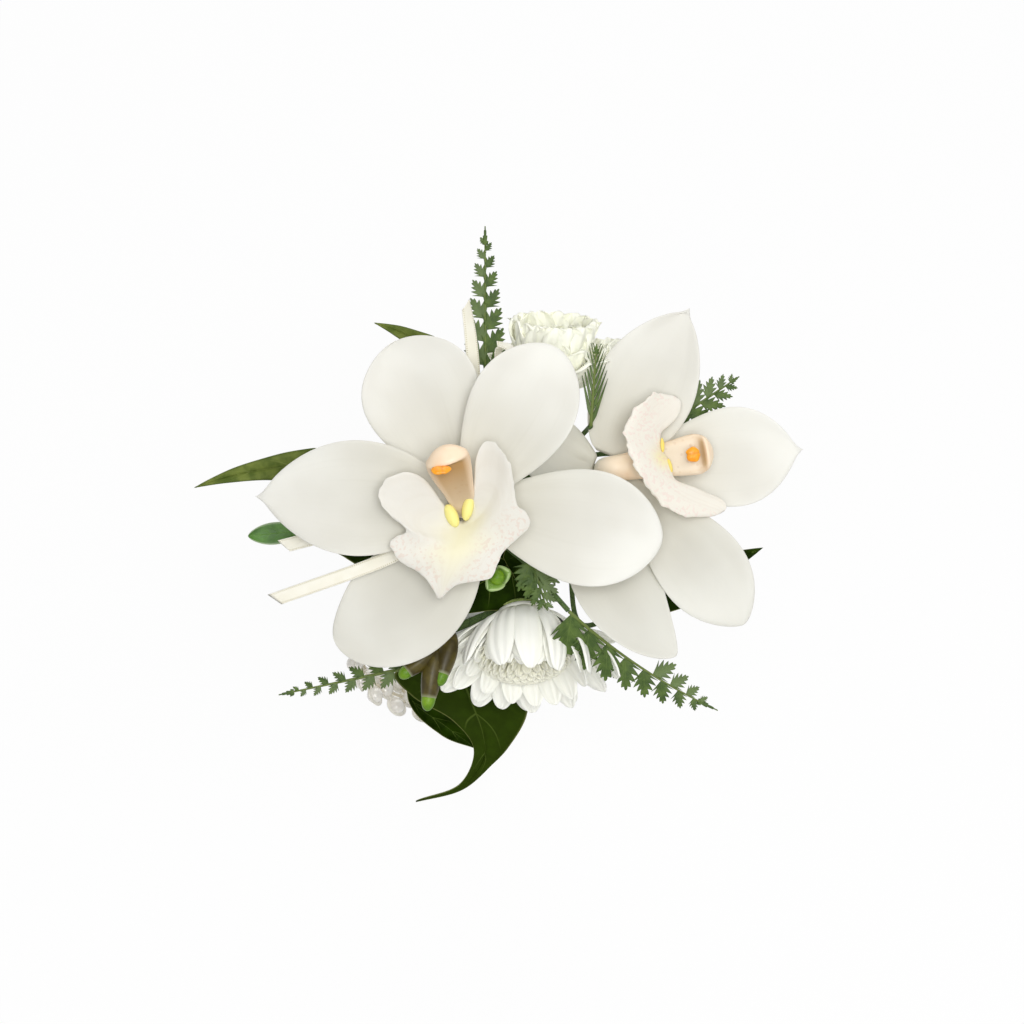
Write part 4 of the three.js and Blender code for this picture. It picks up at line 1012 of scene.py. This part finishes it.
sleeveSet = {"share": 0.78, "swell": 0.42, "foot": 0.32, "budAt": 0.8, "budSize": (0.29, 0.2, 0.27)}
budLeaf = {"root": 1.6, "widest": 0.55, "blunt": 0.65, "thickness": 1.7}
twigRadius = (0.8, 0.6)
sprigs = {
    "sprigLower": {
        "finish": budBrown, "sleeves": True, "twig": [[4, -4, 12], [4, -9, 16], [-1, -14.5, 19]], "leaves": [
            {"start": [-1, -14, 19], "heading": 218, "length": 14, "width": 7, "lift": 8},
            {"start": [-1, -14, 19], "heading": 262, "length": 19, "width": 7.5, "lift": 6},
            {"start": [4, -9, 16], "heading": 256, "length": 17.5, "width": 7.5, "lift": 18}]},
    "sprigLeft": {
        "finish": budGreen, "twig": [[-28, 20, 12], [-36, 21.5, 13], [-42, 22, 13.5]], "leaves": [
            {"start": [-41.5, 22, 13.5], "heading": 186, "length": 17, "width": 6.5, "cup": 0.3}]},
    "sprigCentre": {
        "finish": budPale, "twig": [[18.5, 8.5, 14], [19, 8.5, 19], [19, 8.5, 23]], "leaves": [
            {"start": [18.6, 8.5, 22], "heading": 230, "length": 7.5, "width": 6, "cup": 0.5, "lift": 42},
            {"start": [18.6, 8.5, 22], "heading": 20, "length": 6, "width": 5.5, "cup": 0.5, "lift": 60}],
        "buds": [([17.6, 7.9, 25.5], [2.5, 2.5, 2.9])]},
}


def bentOnRib(path, x, y, out):
    # flat places x across and y along are laid on the rib, lifted out of its face
    x, y, out = np.broadcast_arrays(x, y, out)
    point, across, normal = midrib(path, np.clip(y / path["length"], 0, 1))
    return point + across * x[..., None] + normal * out[..., None]


def makeFern(name, path):
    # leaflets stand by turns on both sides of the rachis and slant forward, closer and shorter toward the tip; a
    # leaflet's half width swells from a short stalk and falls to its point, cut into lobes that rise and drop at
    # once
    look = {**fernSet, **path}
    pairs, length, thick, slant = look["pairs"], look["length"], look["thickness"], math.radians(look["slant"])
    rachis = bentOnRib(path, 0, np.linspace(0, length, 30), 0)
    parts = [marked(placed(pipe(rachis, np.linspace(*look["rachis"], 30), 8)), stalk=1)]
    s, t = edgeSteps(7), np.linspace(0, 1, 46)
    sGrid, tGrid = s[None], t[:, None]
    lobes = 1 if look["plain"] else 1 - look["lobeDepth"] * (1 - (look["lobes"] * tGrid + 0.25) % 1)
    leaf = np.minimum(5 * tGrid + look["stalk"], 1) * (1 - tGrid) ** 0.85 * lobes
    for k in range(2 * pairs):
        share, side = k / (2 * pairs), 1 - 2 * (k % 2)
        if side < 0 and share < look["bareTo"]:
            continue
        reach = (look["width"] / 2 * (1 - share) ** 0.85 + 1.0) * look["long"]
        half = look["slim"] * reach * leaf
        over = half * sGrid
        along = reach * tGrid + look["forward"] * np.abs(over)
        x = side * (0.1 + along * math.sin(slant) + over * math.cos(slant))
        root = length * (0.02 + 0.9 * (1 - (1 - share) ** 1.25))
        y = root + along * math.cos(slant) - over * math.sin(slant)
        out = look["flutter"] * math.sin(2.3 * k) * tGrid + look["keel"] * np.abs(over)
        out = out - look["droop"] * reach * tGrid**2
        parts.append(placed(skin(bentOnRib(path, x, y, out), thick, s, t)))
    tip = 1.2 * (1 - tGrid) ** 0.8 * (0.5 + 0.5 * ((3.4 * tGrid + 0.3) % 1)) + 0.02
    mid = bentOnRib(path, tip * sGrid, length * (0.88 + 0.12 * tGrid), 0)
    makePiece(name, parts + [placed(skin(mid, thick, s, t))], [fernGreen])


def makeFoldedLeaf(name, look):
    # a leaf on three rails with a trough along its middle; its left edge rolls under, bulging most half way
    s, t = edgeSteps(41), np.linspace(0, 1, 101)
    mid = railSheet(look, t, s[None]) + look["start"]
    mid = mid - np.array([0, 0, look["trough"]]) * bellAt(s, 0, 0.07)[None, :, None]
    leaf = placed(skin(mid, ivySet["thickness"], s, t, 8))
    edge = railPoint(look["left"], look["flapFrom"] + (look["flapTo"] - look["flapFrom"]) * t) + look["start"]
    bulge = (look["flap"] * np.sin(math.pi * t))[:, None, None]
    share = (s[None, :, None] + 1) / 2
    rolled = share * look["flapWay"] + np.sin(math.pi * share) * look["flapBulge"]
    flap = placed(skin(edge[:, None] + bulge * rolled - [0, 0, look["flapDrop"]], look["flapThickness"], s, t, 8))
    makePiece(name, [leaf, marked(flap, under=0)], [ivyGreen])


def ivyPart(path):
    # half width read along an outline of shoulders and a drawn-out tip, smoothed; folded up along the rib and waved
    length, fold = path["length"], path["fold"]
    s, t = edgeSteps(31), np.linspace(0, 1, 71)
    sGrid, tGrid = s[None], t[:, None]
    half = np.interp(t, ivyOutline["y"], ivyOutline["x"]) * path["width"]
    soft = np.convolve(np.pad(half, 2, mode="edge"), np.array([1, 3, 4, 3, 1]) / 12, "valid")
    half = np.where((t < 0.04) | (t > 0.97), half, soft)[:, None]
    turn = ivySet["waves"] * tGrid + ivySet["waveLag"] * (sGrid > 0)
    wave = ivySet["wave"] * np.sin(turn) * np.abs(sGrid) ** 3 * np.minimum(half / 5, 1)
    trough = ivySet["trough"] * bellAt(sGrid, 0, ivySet["troughWidth"])
    out = fold * half * (np.abs(sGrid) - ivySet["roll"] * sGrid**2) + wave - trough
    return placed(skin(bentOnRib(path, half * sGrid, length * tGrid, out), ivySet["thickness"], s, t, 8))


def sleevePair(leaf):
    # a tube that swells along the first part of its rib, and the bud at its open end
    steps = np.linspace(0, 1, 40)
    foot, wide, long = sleeveSet["foot"], leaf["width"], leaf["length"]
    swell = sleeveSet["swell"] * wide * (foot + (1 - foot) * np.sin(2.5 * steps**0.7))
    sleeve = pipe(midrib(leaf, sleeveSet["share"] * steps)[0], swell, 20)
    sleeve["uv"] = sleeve["uv"] / [1, sleeve["uv"][..., 1].max()]
    end, side, up = (value[0] for value in midrib(leaf, np.array([sleeveSet["budAt"]])))
    size = np.array([wide, long, wide]) * sleeveSet["budSize"]
    return [sleeve, {**ball(end, size, axes=[side, np.cross(up, side), up]), "finish": 1}]


def makeSprig(name, look):
    # thick cupped blades on a twig, or sleeves with buds
    twig = pipe(railPoint(look["twig"], np.linspace(0, 1, 24)), np.linspace(*twigRadius, 24), 10)
    parts = [marked(twig, stalk=1)]
    s, t = edgeSteps(15), tipSteps(30)
    for leaf in look["leaves"]:
        if look.get("sleeves"):
            parts += sleevePair(leaf)
        else:
            parts.append(skin(bladeSheet({**budLeaf, **leaf}, s, t), budLeaf["thickness"], s, t, 2))
    parts += [{**ball(centre, size), "finish": 1} for centre, size in look.get("buds", [])]
    makePiece(name, [placed(part) for part in parts], [look["finish"], budTip])


makeAll(makeFern, ferns)
for name, look in ivies.items():
    leaves = [ivyPart(leaf) for leaf in [look] + look.get("more", [])]
    makePiece(name, leaves, [ivyPale if look.get("pale") else ivyGreen])
makeFoldedLeaf("ivyBottom", foldedLeaf)
makeAll(makeSprig, sprigs)
print("fern, ivy and sprigs made")

# Ribbons: flat straps on smooth paths

ribbonSet = {"width": 4.2, "thickness": 0.5, "cut": 1.5, "cutFrom": 0.9, "bow": 0.12}
flatFaces = [[0, 0, 1], [0, 0, 1]]
ribbons = {
    "ribbonLongTail": {"faces": flatFaces, "line": [
        heartEdge("orchid1", 222, 1), [-3, 20.5, 31.2], [-14, 14.2, 31.6], [-50.5, 0.8, 29]]},
    "ribbonShortTail": {"faces": flatFaces, "line": [
        heartEdge("orchid1", 194, -0.8), [-10, 26, 29.6], [-32, 21, 28], [-48, 17, 26]]},
    "ribbonTopTail": {"faces": [[0, 0.3, 1], [0.4, 0, 1], [0.8, 0, 0.6]], "line": [
        [10.5, 62, 15], [10.5, 70, 18], [9.5, 82, 20], [8, 92, 21]]},
    "ribbonTopLoop": {"faces": [[0.8, 0, 0.6], [0.8, 0.2, 0.6], [0.3, -0.8, 0.5]], "line": [
        [21, 58, 13], [18.5, 70, 18], [18.5, 78, 22], [21.5, 77, 23.5], [23.5, 69, 21], [24.5, 61, 16]]},
}


def makeRibbon(name, look):
    # a strip s half widths across a path, its face turned along a second path of directions, with a slanted end
    s, t = edgeSteps(9), np.linspace(0, 1, 90)
    line = railPoint(look["line"], t)
    onwards = unit(np.gradient(line, axis=0))
    across = unit(np.cross(onwards, railPoint(look["faces"], t)))
    out = np.cross(across, onwards)
    cut = ribbonSet["cut"] * risen(t, ribbonSet["cutFrom"], 1)[:, None] * (s[None] - 1)
    mid = line[:, None] + across[:, None] * (ribbonSet["width"] / 2 * s)[:, None]
    mid = mid + out[:, None] * (ribbonSet["bow"] * (1 - s**2))[:, None] + onwards[:, None] * cut[..., None]
    part = placed(skin(mid, ribbonSet["thickness"], s, t, 10))
    part["uv"][..., 1] = runOf(line)[:, None]
    makePiece(name, [part], [ribbonIvory])


makeAll(makeRibbon, ribbons)

# Taped spine and stems

stemSet = {"gap": 0.3, "spine": 7.0, "wire": 1.6, "twig": 1.8, "mum": 2.6, "orchid": 3.0, "orchidDepth": 6.5,
           "fernSeat": 0.3, "ivySeat": 0.35, "straight": 0.4}
spineHeight = spraySet["clipHeight"] + stemSet["gap"] + stemSet["spine"] / 2
onClip = onSpray([[0, y, spineHeight] for y in (-12, 0, 8)])
spinePath = np.concatenate([onClip, [[7, 20, -7], [22, 35, -6], [38, 45, -6]]])
# for what each stem carries: its share along the spine, the way it leans at its end if not along the piece, and
# the share of its length that is straight
stems = {
    "fernTop": (0.62,), "fernRightUpper": (0.98,), "fernLowerLeft": (0.03,),
    "fernLowerRight": (0.66, [0.45, -0.5, 0.3]), "fernCentre": (0.58,), "fernBetween": (1.0, [0.1, 0.1, 1]), "ivyBottom": (0.0, [0.3, -0.7, -0.65], 0.3),
    "ivyLeft": (0.5,), "ivyTopLeft": (0.58, [-0.4, 0.8, 0.3], 0.15), "ivyBehindLeft": (0.47,), "ivyCentre": (0.66,),
    "ivyLowerRight": (0.95,), "sprigLower": (0.06,), "sprigLeft": (0.45,), "sprigCentre": (0.42,),
    "ribbonTopTail": (0.6, [0, 0.9, 0.35]), "ribbonTopLoop": (0.75, [-0.2, 0.9, 0.35]), "orchid1": (0.52,),
    "orchid2": (0.97,), "frontMum": (0.0, None, 0.05), "backMum": (0.9,),
}


def stemEnd(name, lean):
    # where a stem ends, the way it leans there and its diameter
    if name in hearts:
        return hearts[name] - [0, 0, stemSet["orchidDepth"]], [0, 0, 1], stemSet["orchid"]
    if name in mums:
        way = unit(mums[name]["facing"])
        return mums[name]["at"] - way * (4 * mums[name]["scale"] + mumSet["gap"]), way, stemSet["mum"]
    if name in sprigs:
        first, second = np.array(sprigs[name]["twig"][:2])
        return first, second - first, stemSet["twig"]
    if name in ribbons:
        return ribbons[name]["line"][0], lean, stemSet["wire"]
    path = {**ferns, **ivies, "ivyBottom": foldedLeaf}[name]
    if lean:
        seat = stemSet["fernSeat" if name in ferns else "ivySeat"]
        return path["start"] - unit(lean) * seat, lean, stemSet["wire"]
    turn, rise = math.radians(path["heading"]), math.radians(path.get("lift", 0))
    way = [math.cos(rise) * math.cos(turn), math.cos(rise) * math.sin(turn), math.sin(rise)]
    return path["start"], way, stemSet["wire"]


def makeStems():
    # each wire runs on a spline from the spine to just short of its head, straightening before the end
    t = np.linspace(0, 1, 46)
    parts = [placed(pipe(railPoint(spinePath, np.linspace(0, 1, 120)), stemSet["spine"] / 2, 24))]
    for name, row in stems.items():
        share, lean, level = (*row, *(None, stemSet["straight"])[len(row) - 1:])
        end, lean, diameter = stemEnd(name, lean)
        start, lean = railPoint(spinePath, np.array([share]))[0], unit(lean)
        tip = np.asarray(end, float) - lean * stemSet["gap"]
        middle = tip - lean * level * np.linalg.norm(tip - start)
        line = railPoint([start, start + (middle - start) * 0.6, middle, tip], t)
        parts.append(placed(pipe(line, diameter / 2, 10)))
    makePiece("tapedStems", parts, [tapeGreen], node="stem_bundle")


makeStems()
print("ribbons and stems made")

# Bracelet: pearl links on an elastic cord

bracelet = {"pearl": 5.2, "pearlGap": 1.35, "links": 15, "cells": 19, "thread": 1.0, "elastic": 1.2,
            "endRise": 0.512, "slotHeight": 1.7, "flatHalf": 13.5, "lace": 3.7, "laceDepth": 0.7, "trim": 2.44, "lapAfter": 8,
            "lapApart": 0.52, "lapThread": 0.94}
rowStep = (bracelet["pearl"] + bracelet["pearlGap"]) / math.sqrt(2)
loopRadius = bracelet["cells"] * 2 * rowStep / fullTurn
linkTurn = fullTurn / bracelet["cells"]
quarter = linkTurn / 4
endTurn = (bracelet["links"] - 0.5) / 2 * linkTurn
loopCentre = bracelet["slotHeight"] + bracelet["endRise"] + loopRadius * math.cos(endTurn)


def linkAngle(k):
    # links stand evenly on both sides of the loop's lowest place
    return (k - (bracelet["links"] + 1) / 2) * linkTurn


def linkBody(k):
    # the name of a link's CAD body
    return f"link_{k:02d}"


def aroundLoop(angle, y=0.0):
    # a place on the loop at an angle from straight down and a distance along the wrist
    angle = np.asarray(angle, float)
    return np.stack(np.broadcast_arrays(loopRadius * np.sin(angle), y, loopCentre - loopRadius * np.cos(angle)), -1)


def straight(a, b, count=8):
    # even steps from one place to another
    return a + (b - a) * np.linspace(0, 1, count)[:, None]


def makeLink(k):
    # one middle pearl and two outer ones, each in a flat ring of lace, tied by short threads
    middle = aroundLoop(linkAngle(k) - quarter)
    laceSize = [bracelet["lace"], bracelet["lace"], bracelet["laceDepth"] / 2]
    parts = []
    for row, turn in ((0, -quarter), (-1, quarter), (1, quarter)):
        angle = linkAngle(k) + turn
        centre = aroundLoop(angle, row * rowStep)
        parts.append(ball(centre, [bracelet["pearl"] / 2] * 3, 21, 33))
        parts.append(marked(ball(centre, laceSize, 9, 29, turned([0, -math.degrees(angle), 0])), thread=1))
        if row:
            parts.append(marked(pipe(straight(middle, centre), bracelet["thread"] / 2, 8), thread=1))
    makePiece(f"pearlLink{k:02d}", [placed(part, inMetres) for part in parts], [pearlCream], linkBody(k))


def cordPiece(name, lines, diameter, bodies):
    # round runs that stay with one body, or run between two bodies from their first to their last point and are left
    # without a body, baked in place
    parts = [placed(pipe(line, diameter / 2), inMetres) for line in lines]
    alone = bodies[0] if len(bodies) == 1 else None
    piece = makePiece(name, parts, [elasticCream], alone, "elastic_band")
    if not alone:
        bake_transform(piece)


def cordEnd(side):
    # the elastic leaves the loop's end on a smooth curve into the clip
    flat, slot = bracelet["flatHalf"], bracelet["slotHeight"]
    ends = [aroundLoop(side * (endTurn - 2 * quarter)), aroundLoop(side * endTurn), [side * flat, 0, slot],
            [0.75 * side * flat, 0, slot]]
    return railPoint(ends, np.linspace(1 / 3, 2 / 3, 16))


def makeCord():
    # the cord is cut at the middle pearls: each run between two links reaches from one to the other, as do the
    # threads that net a link's outer pearls to the next link; half way round the two halves lap and slide past each
    # other
    flat, trim, last = bracelet["flatHalf"], bracelet["trim"], bracelet["links"]
    cord, thread, clip = bracelet["elastic"], bracelet["thread"], spraySet["body"]
    ends = np.array([[-flat, 0, bracelet["slotHeight"]], [flat, 0, bracelet["slotHeight"]]])
    cordPiece("cordInClip", [straight(*ends, 12)], cord, [clip])
    first = cordEnd(-1)[::-1]
    cordPiece("cordRun00", [first[np.linalg.norm(first - first[-1], axis=1) > trim]], cord, [clip, linkBody(1)])
    bite = trim / loopRadius
    for k in range(1, last):
        here, onward = linkAngle(k) - quarter + bite, linkAngle(k + 1) - quarter - bite
        bodies = [linkBody(k), linkBody(k + 1)]
        outer = [aroundLoop(linkAngle(k) + quarter, row * rowStep) for row in (-1, 1)]
        inner = aroundLoop(linkAngle(k + 1) - quarter)
        short = trim / np.linalg.norm(outer[0] - inner)
        nets = [straight(a + (inner - a) * short, inner + (a - inner) * short) for a in outer]
        run = aroundLoop(np.linspace(here, onward, 10))
        if k == bracelet["lapAfter"]:
            beside = np.array([0, bracelet["lapApart"] * cord, 0])
            cordPiece("cordLapLeft", [run - beside], cord, bodies[:1])
            cordPiece("cordLapRight", [run + beside], cord, bodies[1:])
            cordPiece("netLapLeft", nets, thread, bodies[:1])
            cordPiece("netLapRight", nets, bracelet["lapThread"] * thread, bodies[1:])
            continue
        cordPiece(f"cordRun{k:02d}", [run], cord, bodies)
        cordPiece(f"netRun{k:02d}", nets, thread, bodies)
    arc = aroundLoop(np.linspace(linkAngle(last) - quarter + bite, endTurn, 8)[:-1])
    cordPiece(f"cordRun{last}", [np.concatenate([arc, cordEnd(1)])], cord, [linkBody(last), clip])


for k in range(1, bracelet["links"] + 1):
    makeLink(k)
makeCord()
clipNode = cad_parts["clip_plate"]
clipNode.data.materials.clear()
clipNode.data.materials.append(clipSteel)
print("bracelet made")

# Camera, floor and light

cameraSet = {"place": (0.0222, -0.5693, 0.7558), "aim": (0.0222, -0.00289, 0.05639), "lens": 105.5, "sensor": 36}
studio = {"ambient": 0.34, "floorShow": 0.94, "floorDrop": 0.02, "floorSpan": 4.0,
          "floorColor": (0.86, 0.86, 0.86, 1)}
lamps = {
    "keyLamp": {"place": (0.42, -0.3, 0.95), "size": 0.7, "power": 2.3},
    "fillLamp": {"place": (0.08, -0.62, 0.84), "size": 0.5, "power": 6.0},
    "backLamp": {"place": (0.1, 0.9, 0.7), "size": 0.8, "power": 3.8},
}


def aimed(name, data, place):
    # a camera or lamp at a place, turned to the middle of the picture
    made = bpy.data.objects.new(name, data)
    made.location = place
    made.rotation_euler = (Vector(cameraSet["aim"]) - Vector(place)).to_track_quat("-Z", "Y").to_euler()
    bpy.context.scene.collection.objects.link(made)
    return made


def seenDirectly(tree):
    # 1 for rays from the camera, a mirror or clear glass, which see the white backdrop
    path = tree.nodes.new("ShaderNodeLightPath").outputs
    seen = path["Is Camera Ray"]
    for other in ("Is Glossy Ray", "Is Transmission Ray"):
        seen = addNode(tree, "ShaderNodeMath", {0: seen, 1: path[other]}, operation="MAXIMUM")
    return seen


def makeCamera():
    # the photo's view
    lens = bpy.data.cameras.new("photoCamera")
    lens.lens, lens.sensor_width = cameraSet["lens"], cameraSet["sensor"]
    lens.clip_start, lens.clip_end = 0.01, 50
    bpy.context.scene.camera = aimed("photoCamera", lens, cameraSet["place"])
    bpy.context.scene.view_settings.view_transform = "Standard"


def makeFloor():
    # a matt floor that is white where it is seen directly
    low = min(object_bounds()[0][2], cadBox[0][2]) - studio["floorDrop"]  # the stretched loop reaches this low
    span = studio["floorSpan"]
    mesh = bpy.data.meshes.new("paleFloor")
    corners = [(x * span, y * span, low) for x, y in ((-1, -1), (1, -1), (1, 1), (-1, 1))]
    mesh.from_pydata(corners, [], [(0, 1, 2, 3)])
    floor = bpy.data.objects.new("paleFloor", mesh)
    bpy.context.scene.collection.objects.link(floor)
    paint = bpy.data.materials.new("pale_floor")
    paint.use_nodes = True
    tree = paint.node_tree
    tree.nodes.clear()
    matt = addNode(tree, "ShaderNodeBsdfDiffuse", {0: studio["floorColor"]})
    glow = addNode(tree, "ShaderNodeEmission", {})
    share = addNode(tree, "ShaderNodeMath", {0: seenDirectly(tree), 1: studio["floorShow"]}, operation="MULTIPLY")
    mixed = addNode(tree, "ShaderNodeMixShader", {0: share, 1: matt, 2: glow})
    addNode(tree, "ShaderNodeOutputMaterial", {0: mixed})
    mesh.materials.append(paint)


def makeLight():
    # a white world, dimmer where it only lights, and three lamps
    world = bpy.data.worlds.new("studioWorld")
    world.use_nodes = True
    bpy.context.scene.world = world
    tree = world.node_tree
    sky = tree.nodes["Background"].inputs
    sky[0].default_value = (1, 1, 1, 1)
    level = addNode(tree, "ShaderNodeMapRange", {0: seenDirectly(tree), 3: studio["ambient"], 4: 1.0})
    tree.links.new(level, sky[1])
    for name, look in lamps.items():
        lamp = bpy.data.lights.new(name, "AREA")
        lamp.size, lamp.energy = look["size"], look["power"]
        aimed(name, lamp, look["place"])


makeCamera()
makeFloor()
makeLight()
print("studio made")
